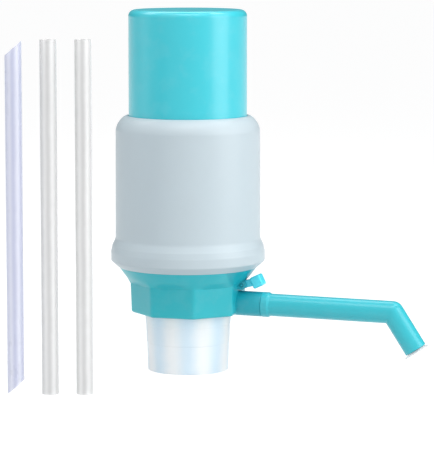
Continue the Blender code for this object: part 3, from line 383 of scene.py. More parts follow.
def lofted(rings):
    # Skin over rings of points, the last of which meets the first
    form = bmesh.new()
    loops = [[form.verts.new(point) for point in ring] for ring in rings]
    for near, far in zip(loops, loops[1:] + loops[:1]):
        for n in range(len(near)):
            m = (n + 1) % len(near)
            form.faces.new((near[n], near[m], far[m], far[n]))
    return form


def rod(radius, low, high, steps, edge=0.0):
    corners = [(0, high, 0), (radius, high, edge), (radius, low, edge), (0, low, 0)]
    return spun(corners, steps, 3)


def plate(outline, low, high, edge=0.0):
    # Extrude an outline of (x, z) along Y, with its edges rounded
    form = bmesh.new()
    face = form.faces.new([form.verts.new((x, low, z)) for x, z in outline])
    grown = bmesh.ops.extrude_face_region(form, geom=[face])
    moved = [item for item in grown["geom"] if isinstance(item, bmesh.types.BMVert)]
    bmesh.ops.translate(form, verts=moved, vec=(0, high - low, 0))
    if edge:
        sharp = [e for e in form.edges if e.calc_face_angle(0) > bevelAngle]
        bmesh.ops.bevel(form, geom=sharp, offset=edge, segments=3, profile=0.5, affect="EDGES")
    return form


def brick(low, high, edge=0.0):
    outline = [(low[0], low[2]), (high[0], low[2]), (high[0], high[2]), (low[0], high[2])]
    return plate(outline, low[1], high[1], edge)


def addObject(name, data):
    thing = bpy.data.objects.new(name, data)
    bpy.context.scene.collection.objects.link(thing)
    return thing


def asObject(name, form, placing):
    # A plain object at the origin, with its place in its mesh and its faces turned outwards
    bmesh.ops.remove_doubles(form, verts=form.verts, dist=weld)
    bmesh.ops.recalc_face_normals(form, faces=form.faces)
    form.transform(placing)
    mesh = bpy.data.meshes.new(name)
    form.to_mesh(mesh)
    form.free()
    return addObject(name, mesh)


def settle(piece):
    # Turn the object as its modifiers show it into a plain mesh
    bpy.context.view_layer.update()
    seen = piece.evaluated_get(bpy.context.evaluated_depsgraph_get())
    mesh = bpy.data.meshes.new_from_object(seen)
    piece.modifiers.clear()
    piece.data = mesh
    mesh.name = piece.name


def shape(piece, operation, forms):
    # Join or cut a list of (form, placing), one Boolean each
    tools = []
    for form, placing in forms:
        tool = asObject("tool", form, placing)
        step = piece.modifiers.new("tool", "BOOLEAN")
        step.operation = operation
        step.solver = "EXACT"
        step.object = tool
        tools.append(tool)
    settle(piece)
    for tool in tools:
        bpy.data.objects.remove(tool)
    form = bmesh.new()
    form.from_mesh(piece.data)
    bmesh.ops.remove_doubles(form, verts=form.verts, dist=mergeReach)
    bmesh.ops.dissolve_degenerate(form, edges=form.edges, dist=mergeReach)
    form.to_mesh(piece.data)
    form.free()


def finishPiece(piece, material, body, nodes=()):
    # Smooth shading that keeps flat faces flat, then the finish, the body and the nodes it stands for
    piece.data.materials.clear()
    piece.data.materials.append(material)
    piece.data.shade_smooth()
    piece.data.set_sharp_from_angle(angle=sharpAngle)
    even = piece.modifiers.new("even", "WEIGHTED_NORMAL")
    even.keep_sharp = True
    settle(piece)
    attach(piece, body)
    if nodes:
        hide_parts(*nodes)
    return piece


# Camera: a long lens, a little to the right of the pump and above it, looking slightly down
camera = {
    "right": 19.1 * mm,
    "distance": 1683 * mm,
    "height": 300 * mm,
    "pitch": math.radians(6.96),
    "lens": 204.7,
}


def addCamera(spec):
    data = bpy.data.cameras.new("camera")
    data.lens = spec["lens"]
    data.clip_end = 60
    view = addObject("camera", data)
    view.location = (axisX + spec["right"], axisY - spec["distance"], spec["height"])
    view.rotation_euler = (math.pi / 2 - spec["pitch"], 0, 0)
    bpy.context.scene.camera = view


addCamera(camera)
bpy.context.scene.view_settings.view_transform = "Standard"

# Press cap: a deep cup that slides in the body's mouth, with four posts on the plate below
cap = {
    "radius": 38.75 * mm, "rounding": 4.3 * mm, "wall": 2 * mm, "bead": 1.9 * mm,
    "beadHeight": 3.2 * mm, "bottom": capLow.z, "around": 192,
    "posts": 4, "postRadius": 2.5 * mm, "postCircle": 24 * mm, "postHeight": 3.5 * mm,
}


def pressCap(spec):
    radius = spec["radius"]
    bore = radius - spec["wall"]
    ceiling = capTop - spec["wall"]
    beadTop = spec["bottom"] + spec["beadHeight"]
    corners = [
        (0, capTop, 0), (radius, capTop, spec["rounding"]), (radius, beadTop, smallEdge),
        (radius + spec["bead"], beadTop - spec["bead"] / 2, smallEdge),
        (radius + spec["bead"], spec["bottom"], softEdge), (bore, spec["bottom"], softEdge),
        (bore, ceiling, spec["rounding"] - spec["wall"]), (0, ceiling, 0)]
    piece = asObject("pressCap", spun(corners, spec["around"], 12), onAxis)
    posts = []
    for n in range(spec["posts"]):
        angle = math.tau * (n + 0.5) / spec["posts"]
        spot = (spec["postCircle"] * math.cos(angle), spec["postCircle"] * math.sin(angle), 0)
        post = rod(spec["postRadius"], ceiling - spec["postHeight"], ceiling + spec["wall"] / 2, 32)
        posts.append((post, onAxis @ Matrix.Translation(spot)))
    shape(piece, "UNION", posts)
    return finishPiece(piece, tealPlastic, "cap", ["press_cap"])


pressCap(cap)
print("press cap made")

# White body: rounded shoulder, straight side, thick band with a chamfer below
body = {
    "mouthBore": 39.05 * mm, "lip": 0.9 * mm, "radius": 47.3 * mm, "draft": 0.3 * mm, "wall": 2 * mm,
    "shoulder": 9.8 * mm, "shoulderShare": 0.8, "shoulderSteps": 20, "guide": 11 * mm, "guideWall": 2 * mm,
    "band": 50.6 * mm, "bandTop": 10.3 * mm, "bandFlare": 8.4 * mm, "bandChamfer": 4.2 * mm,
    "bandWall": 2.4 * mm, "foot": 45.9 * mm, "footBore": 43.8 * mm, "shelf": 4.1 * mm,
    "shelfThickness": 2 * mm, "shelfBore": 38.5 * mm, "lipDepth": 2 * mm, "flareRounding": 5 * mm,
    "turnRounding": 2.2 * mm, "chamferRounding": 1.3 * mm, "innerRounding": 2 * mm, "around": 224,
    "turnReachShare": 0.72, "turnHeightShare": 0.44, "lipEdge": 0.35 * mm, "shelfRounding": 0.8 * mm,
    "shoulderRounding": 1.5 * mm, "guideRounding": 0.6 * mm,
}


def shoulderPoints(spec):
    lip = spec["mouthBore"] + spec["lip"]
    power = 1 / spec["shoulderShare"]
    points = []
    for n in range(spec["shoulderSteps"] + 1):
        t = math.pi / 2 * (1 - n / spec["shoulderSteps"])
        across = (spec["radius"] - lip) * math.cos(t) ** power
        points.append((lip + across, mouthTop - spec["shoulder"] * (1 - math.sin(t) ** power)))
    return points


def pumpBody(spec):
    sideFoot = spec["radius"] + spec["draft"]
    bandTop = bodyFoot + spec["bandTop"]
    flareTop = bandTop + spec["bandFlare"]
    turnReach = sideFoot + spec["turnReachShare"] * (spec["band"] - sideFoot)
    turnHeight = bandTop + spec["turnHeightShare"] * spec["bandFlare"]
    bore = spec["mouthBore"]
    start = (bore, mouthTop - spec["lipDepth"], 0)
    lip = rounded([start, (bore, mouthTop, spec["lipEdge"]), (bore + spec["lip"], mouthTop, 0)], 4,
                  closed=False)
    lower = [
        shoulderPoints(spec)[-1] + (0,), (sideFoot, flareTop, spec["flareRounding"]),
        (turnReach, turnHeight, spec["turnRounding"]),
        (spec["band"], bandTop - fineEdge, spec["flareRounding"]),
        (spec["band"], bodyFoot + spec["bandChamfer"], spec["chamferRounding"]),
        (spec["foot"], bodyFoot, roundEdge), (spec["footBore"], bodyFoot, softEdge)]
    shelf = bodyFoot + spec["shelf"]
    shelfTop = shelf + spec["shelfThickness"]
    bandInner = spec["band"] - spec["bandWall"]
    inner = spec["radius"] - spec["wall"]
    guideOuter = bore + spec["guideWall"]
    guideFoot = mouthTop - spec["guide"]
    inside = [
        (spec["footBore"], shelf, fineEdge), (spec["shelfBore"], shelf, softEdge),
        (spec["shelfBore"], shelfTop, softEdge), (bandInner, shelfTop, spec["shelfRounding"]),
        (bandInner, bandTop, spec["innerRounding"]), (inner, flareTop, spec["innerRounding"]),
        (inner, mouthTop - spec["shoulder"], spec["shoulderRounding"]),
        (guideOuter, mouthTop - spec["guide"] / 2, spec["guideRounding"]),
        (guideOuter, guideFoot, smallEdge), (bore, guideFoot, smallEdge)]
    tail = rounded(lower + inside + [start], 8, closed=False)
    outline = lip + shoulderPoints(spec)[1:-1] + tail[:-1]
    piece = asObject("pumpBody", turned(outline, spec["around"]), onAxis)
    return finishPiece(piece, whitePlastic, "pump", ["pump_body"])


pumpBody(body)
print("body made")

# Collar: an eight-sided skirt that turns round towards the body, with the spout socket and the ears
collar = {
    "sides": 8, "apothem": 35.4 * mm, "draft": 0.7 * mm, "cornerSharpness": 84, "columns": 320,
    "foot": 38.1 * mm, "crease": 57.5 * mm, "top": 68.64 * mm, "topRadius": 45.6 * mm,
    "coneFoot": 37.3 * mm, "coneSteps": 12, "roundedBy": 0.5,
    "spigot": 43.5 * mm, "spigotTop": 72.5 * mm, "footRounding": 1.9 * mm, "channelEnd": 33.4 * mm,
    "bossRadius": 8.1 * mm, "bossReach": 51.2 * mm, "socketBore": 5.5 * mm,
    "socketDepth": 14.4 * mm, "earRadius": 3 * mm, "earThickness": 2 * mm, "leverWidth": 4.8 * mm,
    "pivotReach": 37.8 * mm, "pivotRise": 57.6 * mm, "pinHole": 1.3 * mm, "gap": 0.3 * mm,
    "windowBelow": 2.4 * mm, "windowAbove": 4.8 * mm, "lowerBore": 32 * mm, "beadBore": 30.4 * mm,
    "beadTop": 40.5 * mm, "beadLow": 39.3 * mm, "deck": 44.4 * mm, "deckTop": 46.4 * mm,
    "upperBore": 32.4 * mm, "seat": 69.7 * mm, "seatBore": 39.3 * mm, "spigotBore": 41.5 * mm,
    "nozzleRadius": 8 * mm, "nozzleFoot": 22 * mm, "nozzleBore": 6.9 * mm, "nozzleStop": 38 * mm,
    "waterBore": 3.6 * mm, "channelRadius": 3.8 * mm, "channelBore": 2.5 * mm, "channelRise": 48.2 * mm,
    "ductReach": 14.5 * mm, "ductRadius": 8.3 * mm, "ductWall": 1.5 * mm, "ductTop": 51.4 * mm,
    "ductPort": 5.5 * mm, "ventReach": 15 * mm, "ventSide": 8.5 * mm, "ventBore": 1.8 * mm,
    "earRoot": 1.5 * mm, "rootInset": 0.4 * mm, "pinReach": 9 * mm, "fit": 0.03 * mm,
    "beadSlope": 0.4 * mm, "seatDepth": 2 * mm, "seatRounding": 1 * mm, "coneRounding": 2 * mm,
    "deckRounding": 0.8 * mm, "boreStep": 0.4 * mm, "boreRounding": 0.6 * mm,
}


def facetReach(angle, spec):
    # Distance to a soft-cornered polygon in a direction: a smooth greatest of its facets
    total = 0
    for side in range(spec["sides"]):
        lean = math.cos(angle - math.tau * side / spec["sides"])
        if lean > 0:
            total += lean ** spec["cornerSharpness"]
    return spec["apothem"] / total ** (1 / spec["cornerSharpness"])


def collarSkin(spec):
    # Faceted up to the crease, then a cone that loses its facets over its lower half
    columns = []
    for n in range(spec["columns"]):
        angle = math.tau * n / spec["columns"]
        full = facetReach(angle, spec)
        section = rounded([(0, spec["foot"], 0), (full - spec["draft"], spec["foot"], spec["footRounding"]),
                           (full, spec["crease"], 0)], 6, closed=False)
        for k in range(1, spec["coneSteps"] + 1):
            t = k / spec["coneSteps"]
            turn = min(t / spec["roundedBy"], 1)
            turn = turn * turn * (3 - 2 * turn)
            cone = spec["coneFoot"] + (spec["topRadius"] - spec["coneFoot"]) * t
            straight = full + (spec["topRadius"] - full) * t
            height = spec["crease"] + (spec["top"] - spec["crease"]) * t
            section.append((straight + (cone - straight) * turn, height))
        section += [(spec["spigot"], spec["top"]), (spec["spigot"], spec["spigotTop"]),
                    (0, spec["spigotTop"])]
        columns.append([(r * math.cos(angle), r * math.sin(angle), z) for r, z in section])
    form = bmesh.new()
    grid = [[form.verts.new(point) for point in column] for column in columns]
    for near, far in zip(grid, grid[1:] + grid[:1]):
        for k in range(len(near) - 1):
            form.faces.new((near[k], far[k], far[k + 1], near[k + 1]))
    return form


def baseCollar(spec):
    piece = asObject("baseCollar", collarSkin(spec), inSpoutPlane)
    face = spec["apothem"]
    sideways = Matrix.Rotation(math.pi / 2, 4, "Y")
    bossAxis = alongSpout @ sideways
    pivot = inSpoutPlane @ Matrix.Translation((spec["pivotReach"], 0, spec["pivotRise"]))
    bossRoot = spec["upperBore"] + spec["rootInset"]
    boss = spun([
        (0, spec["bossReach"], 0), (spec["bossRadius"], spec["bossReach"], roundEdge),
        (spec["bossRadius"], bossRoot, 0), (0, bossRoot, 0)], 72, 5)
    joins = [(boss, bossAxis)]
    back = spec["pivotReach"] - face + spec["earRoot"]
    arc = [(spec["earRadius"] * math.cos(t), spec["earRadius"] * math.sin(t))
           for t in [-math.pi / 2 + math.pi * n / 20 for n in range(21)]]
    ear = [(-back, -spec["earRadius"])] + arc + [(-back, spec["earRadius"])]
    for side in (-1, 1):
        near = side * (spec["leverWidth"] / 2 + spec["gap"])
        far = near + side * spec["earThickness"]
        joins.append((plate(ear, min(near, far), max(near, far), smallEdge), pivot))
    shape(piece, "UNION", joins)

    lower = spun([
        (0, spec["deck"], 0), (spec["lowerBore"], spec["deck"], smallEdge),
        (spec["lowerBore"], spec["beadTop"], fineEdge),
        (spec["beadBore"], spec["beadTop"] - spec["beadSlope"], fineEdge),
        (spec["beadBore"], spec["beadLow"], smallEdge), (spec["beadBore"], spec["foot"] - overrun, 0),
        (0, spec["foot"] - overrun, 0)], 96, 3)
    upper = spun([
        (0, spec["spigotTop"] + overrun, 0), (spec["spigotBore"], spec["spigotTop"] + overrun, 0),
        (spec["spigotBore"], spec["seat"], fineEdge), (spec["seatBore"], spec["seat"], smallEdge),
        (spec["seatBore"], spec["top"] - spec["seatDepth"], spec["seatRounding"]),
        (spec["upperBore"], spec["crease"], spec["coneRounding"]),
        (spec["upperBore"], spec["deckTop"], spec["deckRounding"]), (0, spec["deckTop"], 0)], 96, 4)
    shape(piece, "DIFFERENCE", [(lower, inSpoutPlane), (upper, inSpoutPlane)])

    arcs = [(spec["channelRadius"] * math.cos(t), -spec["channelRadius"] * math.sin(t))
            for t in [math.pi / 2 * n / 8 for n in range(9)]]
    channel = [(0, spec["channelEnd"]), (spec["channelRadius"], spec["channelEnd"])] + arcs
    level = inSpoutPlane @ Matrix.Translation((0, 0, spec["channelRise"])) @ sideways
    duct = inSpoutPlane @ Matrix.Translation((-spec["ductReach"], 0, 0))
    mid = (spec["deck"] + spec["deckTop"]) / 2
    wall = spec["ductRadius"] + spec["ductWall"]
    socket = rounded([(wall, spec["ductTop"], smallEdge), (wall, mid, 0), (spec["ductRadius"], mid, 0),
                      (spec["ductRadius"], spec["ductTop"], smallEdge)], 3)
    shape(piece, "UNION", [
        (turned(channel, 40, closed=False), level),
        (rod(spec["nozzleRadius"], spec["nozzleFoot"], mid, 64, smallEdge), inSpoutPlane),
        (turned(socket, 64), duct)])

    bores = spun([
        (0, spec["channelRise"], 0), (spec["channelBore"] - spec["boreStep"], spec["channelRise"], 0),
        (spec["waterBore"], spec["deck"], spec["boreRounding"]),
        (spec["waterBore"], spec["nozzleStop"], fineEdge), (spec["nozzleBore"], spec["nozzleStop"], smallEdge),
        (spec["nozzleBore"], spec["nozzleFoot"] - overrun, 0), (0, spec["nozzleFoot"] - overrun, 0)], 64, 3)
    half = spec["leverWidth"] / 2 + spec["gap"] - spec["fit"]
    windowEnd = spec["pivotReach"] + spec["earRadius"] + overrun
    window = brick((spec["upperBore"] - overrun, -half, spec["pivotRise"] - spec["windowBelow"]),
                   (windowEnd, half, spec["pivotRise"] + spec["windowAbove"]))
    vent = inSpoutPlane @ Matrix.Translation((spec["ventReach"], spec["ventSide"], 0))
    shape(piece, "DIFFERENCE", [
        (rod(spec["channelBore"], -spec["channelBore"] / 3, face + overrun, 32), level),
        (bores, inSpoutPlane),
        (rod(spec["socketBore"], spec["bossReach"] - spec["socketDepth"], spec["bossReach"] + overrun, 64),
         bossAxis),
        (rod(spec["ductPort"], spec["deck"] - overrun, spec["deckTop"] + overrun, 48), duct),
        (rod(spec["ventBore"], spec["deck"] - overrun, spec["deckTop"] + overrun, 24), vent),
        (window, inSpoutPlane),
        (rod(spec["pinHole"], -spec["pinReach"], spec["pinReach"], 32),
         pivot @ Matrix.Rotation(math.pi / 2, 4, "X"))])
    return finishPiece(piece, collarPlastic, "pump", ["base_collar"])


baseCollar(collar)
print("collar made")

# Spout: a grooved spigot, a collar and a straight arm that turns down at a mitred bend
spout = {
    "start": 37.2 * mm, "collarStart": 51.26 * mm, "collarEnd": 55.5 * mm, "spigot": 5.1 * mm,
    "collarRadius": 8.2 * mm, "chamfer": 1.4 * mm, "radius": 7.35 * mm, "bore": 5.6 * mm,
    "waterBore": 3.4 * mm, "corner": 138.2 * mm, "bend": math.radians(56), "outlet": 28.4 * mm,
    "edge": 0.5 * mm, "groove": 4.2 * mm, "grooves": (40.83 * mm, 46.88 * mm), "grooveHalf": 0.7 * mm,
    "grooveEdge": 0.12 * mm, "chamferEdge": 0.35 * mm, "lipDepth": 4 * mm, "around": 96, "bendSteps": 18,
}


def circleAt(centre, across, radius, count):
    # Ring of points about a place; across is the direction of its upper side in the spout plane
    points = []
    for n in range(count):
        t = math.tau * n / count
        points.append(centre + radius * math.cos(t) * across + Vector((0, radius * math.sin(t), 0)))
    return points


def bendRings(radius, spec):
    # Rounded like a ball outside the corner, one crisp mitre inside it
    corner = Vector((spec["corner"], 0, 0))
    half = spec["bend"] / 2
    mitre = Vector((math.sin(half), 0, math.cos(half)))
    rings = []
    for step in range(spec["bendSteps"] + 1):
        turn = spec["bend"] * step / spec["bendSteps"]
        outward = Vector((math.sin(turn), 0, math.cos(turn)))
        ring = []
        for n in range(spec["around"]):
            t = math.tau * n / spec["around"]
            reach = radius * math.cos(t)
            side = Vector((0, radius * math.sin(t), 0))
            ring.append(corner + side + (reach * outward if reach > 0 else reach / math.cos(half) * mitre))
        rings.append(ring)
    return rings


def spoutTube(spec):
    up = Vector((0, 0, 1))
    down = Vector((math.cos(spec["bend"]), 0, -math.sin(spec["bend"])))
    outward = Vector((math.sin(spec["bend"]), 0, math.cos(spec["bend"])))
    corner = Vector((spec["corner"], 0, 0))
    count = spec["around"]
    half = spec["grooveHalf"]
    edge = spec["grooveEdge"]
    corners = [(spec["start"], spec["waterBore"], 0), (spec["start"], spec["spigot"], roundEdge)]
    for middle in spec["grooves"]:
        corners += [(middle - half, spec["spigot"], edge), (middle - half, spec["groove"], edge),
                    (middle + half, spec["groove"], edge), (middle + half, spec["spigot"], edge)]
    corners += [
        (spec["collarStart"], spec["spigot"], fineEdge),
        (spec["collarStart"], spec["collarRadius"], roundEdge),
        (spec["collarEnd"], spec["collarRadius"], spec["chamferEdge"]),
        (spec["collarEnd"] + spec["chamfer"], spec["radius"], roundEdge),
        (spec["corner"] / 2, spec["radius"], 0)]
    rings = [circleAt(Vector((reach, 0, 0)), up, radius, count)
             for reach, radius in rounded(corners, 3, closed=False)[1:-1]]
    rings += bendRings(spec["radius"], spec)
    lipStart = spec["outlet"] - spec["lipDepth"]
    lip = rounded([(lipStart, spec["radius"], 0), (spec["outlet"], spec["radius"], spec["edge"]),
                   (spec["outlet"], spec["bore"], smallEdge), (lipStart, spec["bore"], 0)], 4, closed=False)
    rings += [circleAt(corner + reach * down, outward, radius, count) for reach, radius in lip]
    rings += bendRings(spec["bore"], spec)[::-1]
    inside = [(spec["collarEnd"], spec["bore"]), (spec["collarStart"], spec["waterBore"]),
              (spec["start"], spec["waterBore"])]
    rings += [circleAt(Vector((reach, 0, 0)), up, radius, count) for reach, radius in inside]
    piece = asObject("spoutTube", lofted(rings), alongSpout)
    return finishPiece(piece, spoutPlastic, "spout", ["spout_tube"])


spoutTube(spout)
outletReach = spout["corner"] + spout["outlet"] * math.cos(spout["bend"])
outletDrop = spout["outlet"] * math.sin(spout["bend"])
atOutlet = (alongSpout @ Matrix.Translation((outletReach, 0, -outletDrop))
            @ Matrix.Rotation(math.pi / 2 + spout["bend"], 4, "Y"))

# Dust plug: a thin clear disc on a hollow stem in the outlet
plug = {"radius": 8.65 * mm, "thickness": 0.8 * mm, "standoff": 0.9 * mm, "stem": 5.3 * mm,
        "length": 8 * mm, "wall": 0.9 * mm, "neck": 6.65 * mm, "seat": 0.3 * mm,
        "around": 96}


def outletPlug(spec):
    disc = spec["standoff"]
    face = disc + spec["thickness"]
    bore = spec["stem"] - spec["wall"]
    corners = [
        (0, face, 0), (spec["radius"], face, smallEdge), (spec["radius"], disc, smallEdge),
        (spec["neck"], disc, crispEdge), (spec["neck"], spec["seat"], fineEdge),
        (spec["stem"], spec["seat"], crispEdge), (spec["stem"], -spec["length"], smallEdge),
        (bore, -spec["length"], fineEdge), (bore, disc, fineEdge), (0, disc, 0)]
    piece = asObject("outletPlug", spun(corners, spec["around"], 4), atOutlet)
    return finishPiece(piece, clearPlug, "plug", ["outlet_plug"])


outletPlug(plug)
print("spout and plug made")

# Sleeve: thin frosted cone with two fine steps, hung by its flange under the gasket
sleeve = {"topRadius": 28.4 * mm, "footRadius": 26.4 * mm, "wall": 1 * mm, "step": 0.3 * mm,
          "stepShares": (0.79, 0.48), "height": 38.9 * mm, "flange": 31.6 * mm, "flangeTop": 42 * mm,
          "flangeUnder": 40.8 * mm, "edge": 0.25 * mm, "around": 192}


def neckSleeve(spec):
    edge = spec["edge"]
    corners = [(spec["flange"], spec["flangeTop"], edge), (spec["flange"], spec["flangeUnder"], edge),
               (spec["topRadius"], spec["flangeUnder"], softEdge)]
    for share in spec["stepShares"]:
        z = spec["height"] * share
        radius = spec["footRadius"] + (spec["topRadius"] - spec["footRadius"]) * share
        corners += [(radius, z, crispEdge), (radius - spec["step"], z - spec["step"], crispEdge)]
    corners += [(spec["footRadius"], 0, edge), (spec["footRadius"] - spec["wall"], 0, edge),
                (spec["topRadius"] - spec["wall"], spec["flangeTop"], edge)]
    piece = asObject("neckSleeve", turned(rounded(corners, 4), spec["around"]), onAxis)
    return finishPiece(piece, frostedSleeve, "pump", ["neck_sleeve"])


neckSleeve(sleeve)
print("sleeve made")

# Suction tubes: two cut square, one soft one cut at a slant at both ends
tube = {"radius": 5.3 * mm, "wall": 0.9 * mm, "length": 222 * mm, "around": 96, "edge": 0.12 * mm,
        "slantedLength": 212 * mm, "slant": math.radians(41)}


def suctionTube(name, node, rideOn, material, length, slope, spec):
    low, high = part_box(node)
    centre = Matrix.Translation(((low.x + high.x) / 2, (low.y + high.y) / 2, 0))
    outer = spec["radius"]
    inner = outer - spec["wall"]
    section = rounded([(outer, 0, spec["edge"]), (outer, length, spec["edge"]),
                       (inner, length, spec["edge"]), (inner, 0, spec["edge"])], 3)
    form = turned(section, spec["around"])
    for vert in form.verts:
        vert.co.z += (vert.co.x + outer) * slope
    piece = asObject(name, form, centre)
    return finishPiece(piece, material, rideOn, [node])


suctionTube("suctionTubeA", "suction_tube_a", "tube_a", frostedTube, tube["length"], 0, tube)
suctionTube("suctionTubeB", "suction_tube_b", "tube_b", frostedTube, tube["length"], 0, tube)
suctionTube("suctionTubeSlanted", "suction_tube_slanted", "slanted_tube", softTube,
            tube["slantedLength"], math.tan(tube["slant"]), tube)
print("suction tubes made")

# Vent lever: a thumb head on a hub outside, an arm with a fork inside
lever = {"width": 4.8 * mm, "hub": 2.5 * mm, "slope": math.radians(15), "tilt": math.radians(25),
         "headLength": 7.2 * mm, "headThickness": 7.8 * mm, "headWidth": 9 * mm, "headRounding": 1.1 * mm,
         "headReach": 10.4 * mm, "armHeight": 2.6 * mm, "armWidth": 4 * mm, "slot": 1.9 * mm,
         "inner": 22.8 * mm, "side": 8.5 * mm, "branchEnd": 12 * mm, "pinHole": 1.3 * mm,
         "inset": 0.06 * mm, "branchEdge": 0.25 * mm, "pinRadius": 1 * mm, "pinEdge": 0.25 * mm}


def ventLever(spec):
    pivot = inSpoutPlane @ Matrix.Translation((collar["pivotReach"], 0, collar["pivotRise"]))
    sideways = Matrix.Rotation(math.pi / 2, 4, "X")
    half = spec["width"] / 2
    lift = spec["armHeight"] / 2
    tip = spec["inner"] + spec["slot"]
    piece = asObject("ventLever", rod(spec["hub"], -half, half, 48, smallEdge), pivot @ sideways)
    root = spec["hub"] * math.cos(spec["slope"])
    neck = [(0, -root), (spec["headReach"], -root), (spec["headReach"], root), (0, root)]
    corner = Vector((spec["headLength"], spec["headWidth"], spec["headThickness"])) / 2
    head = brick(-corner, corner, spec["headRounding"])
    centre = (spec["headReach"] * math.cos(spec["slope"]), 0, spec["headReach"] * math.sin(spec["slope"]))
    inset = spec["inset"]
    arm = brick((-tip, -spec["armWidth"] / 2, -lift), (0, spec["armWidth"] / 2, lift), smallEdge)
    branch = brick((inset - tip, 0, inset - lift),
                   (2 * spec["slot"] + spec["armHeight"] - tip, spec["branchEnd"], lift - inset),
                   spec["branchEdge"])
    shape(piece, "UNION", [
        (arm, pivot),
        (branch, pivot),
        (plate(neck, inset - half, half - inset, smallEdge),
         pivot @ Matrix.Rotation(-spec["slope"], 4, "Y")),
        (head, pivot @ Matrix.Translation(centre) @ Matrix.Rotation(-spec["tilt"], 4, "Y"))])
    fork = brick((-tip - overrun, spec["side"] - spec["slot"], -lift - overrun),
                 (spec["slot"] - spec["inner"], spec["side"] + spec["slot"], lift + overrun))
    hole = rod(spec["pinHole"], -half - overrun, half + overrun, 32)
    shape(piece, "DIFFERENCE", [(fork, pivot), (hole, pivot @ sideways)])
    return finishPiece(piece, litLeverPlastic, "lever", ["vent_lever"])


def ventPin(spec):
    pivot = inSpoutPlane @ Matrix.Translation((collar["pivotReach"], 0, collar["pivotRise"]))
    reach = collar["leverWidth"] / 2 + collar["gap"] + collar["earThickness"]
    form = rod(spec["pinRadius"], -reach, reach, 48, spec["pinEdge"])
    piece = asObject("ventPin", form, pivot @ Matrix.Rotation(math.pi / 2, 4, "X"))
    return finishPiece(piece, collarPlastic, "pump", ["vent_pin"])


ventLever(lever)
ventPin(lever)
print("vent lever made")


def growingPiece(name, treeName, sizes, build, material):
    # An object that a Geometry Nodes tree makes from its named sizes, as a plain mesh
    tree = bpy.data.node_groups.new(treeName, "GeometryNodeTree")
    tree.interface.new_socket("Geometry", in_out="OUTPUT", socket_type="NodeSocketGeometry")
    sockets = {}
    for label, value in sizes.items():
        kind = "NodeSocketInt" if isinstance(value, int) else "NodeSocketFloat"
        sockets[label] = tree.interface.new_socket(label, in_out="INPUT", socket_type=kind)
    nodes = Nodes(tree)
    group = tree.nodes.new("NodeGroupInput")
    wires = {label: Wire(nodes, group.outputs[label]) for label in sizes}
    made = build(nodes, wires)
    single = nodes.add("GeometryNodeRealizeInstances", None, {"Geometry": made})
    dressed = nodes.add("GeometryNodeSetMaterial", None, {"Geometry": single, "Material": material})
    nodes.add("NodeGroupOutput", None, {"Geometry": dressed})
    piece = addObject(name, bpy.data.meshes.new(name))
    grow = piece.modifiers.new("grow", "NODES")
    grow.node_group = tree
    for label, value in sizes.items():
        grow[sockets[label].identifier] = value
    settle(piece)
    return piece


def travel(name):
    # How far a sliding joint goes
    return next(joint for joint in frame["joints"] if joint["name"] == name)["range_m"][1]


# Bellows: eight soft folds between two straight necks, its skin then thickened inwards
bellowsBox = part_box("bellows")
bellowsSizes = {
    "Low": bellowsBox[0].z, "High": bellowsBox[1].z, "Root": 28.5 * mm, "Crest": 35 * mm, "Neck": 6.5 * mm,
    "Folds": 8, "Around": 128, "Rows": 197,
}
bellowsWall = 1.2 * mm


def bellowsSkin(nodes, size):
    grid = nodes.add("GeometryNodeMeshGrid", None, {
        "Vertices X": size["Around"], "Vertices Y": size["Rows"]})
    spot = nodes.add("GeometryNodeInputPosition")
    across = nodes.add("ShaderNodeSeparateXYZ", None, {"Vector": spot}, "X") + 0.5
    up = nodes.add("ShaderNodeSeparateXYZ", None, {"Vector": spot}, "Y") + 0.5
    whole = size["High"] - size["Low"]
    height = size["Low"] + whole * up
    folded = (height - size["Low"] - size["Neck"]) / (whole - size["Neck"] * 2)
    along = nodes.add("ShaderNodeClamp", None, {"Value": folded})
    wave = 0.5 - 0.5 * along.maths("COSINE", along * size["Folds"] * math.tau)
    radius = size["Root"] + (size["Crest"] - size["Root"]) * wave
    turn = across * math.tau
    moved = nodes.add("ShaderNodeCombineXYZ", None, {
        "X": radius * turn.maths("COSINE", turn), "Y": radius * turn.maths("SINE", turn), "Z": height})
    shaped = nodes.add("GeometryNodeSetPosition", None, {"Geometry": grid, "Position": moved})
    return nodes.add("GeometryNodeMergeByDistance", None, {"Geometry": shaped, "Distance": weld})


def makeBellows():
    piece = growingPiece("bellowsFolds", "bellowsTree", bellowsSizes, bellowsSkin, paleRubber)
    piece.data.transform(onAxis)
    form = bmesh.new()
    form.from_mesh(piece.data)
    bmesh.ops.recalc_face_normals(form, faces=form.faces)
    form.to_mesh(piece.data)
    form.free()
    thick = piece.modifiers.new("thick", "SOLIDIFY")
    thick.thickness = bellowsWall
    thick.offset = -1
    settle(piece)
    finishPiece(piece, paleRubber, "pump", ["bellows"])
    length = bellowsSizes["High"] - bellowsSizes["Low"]
    (length - travel("cap_press")) / length
    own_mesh(piece)


makeBellows()
print("bellows made")

# Vent spring: round wire wound six times round the plunger's guide
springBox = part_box("vent_spring")
wireRadius = 0.25 * mm
springSizes = {"Radius": 3.3 * mm, "Wire": wireRadius, "Low": springBox[0].z + wireRadius,
               "Height": springBox[1].z - springBox[0].z - 2 * wireRadius, "Turns": 6.0, "Steps": 48,
               "Sides": 16}


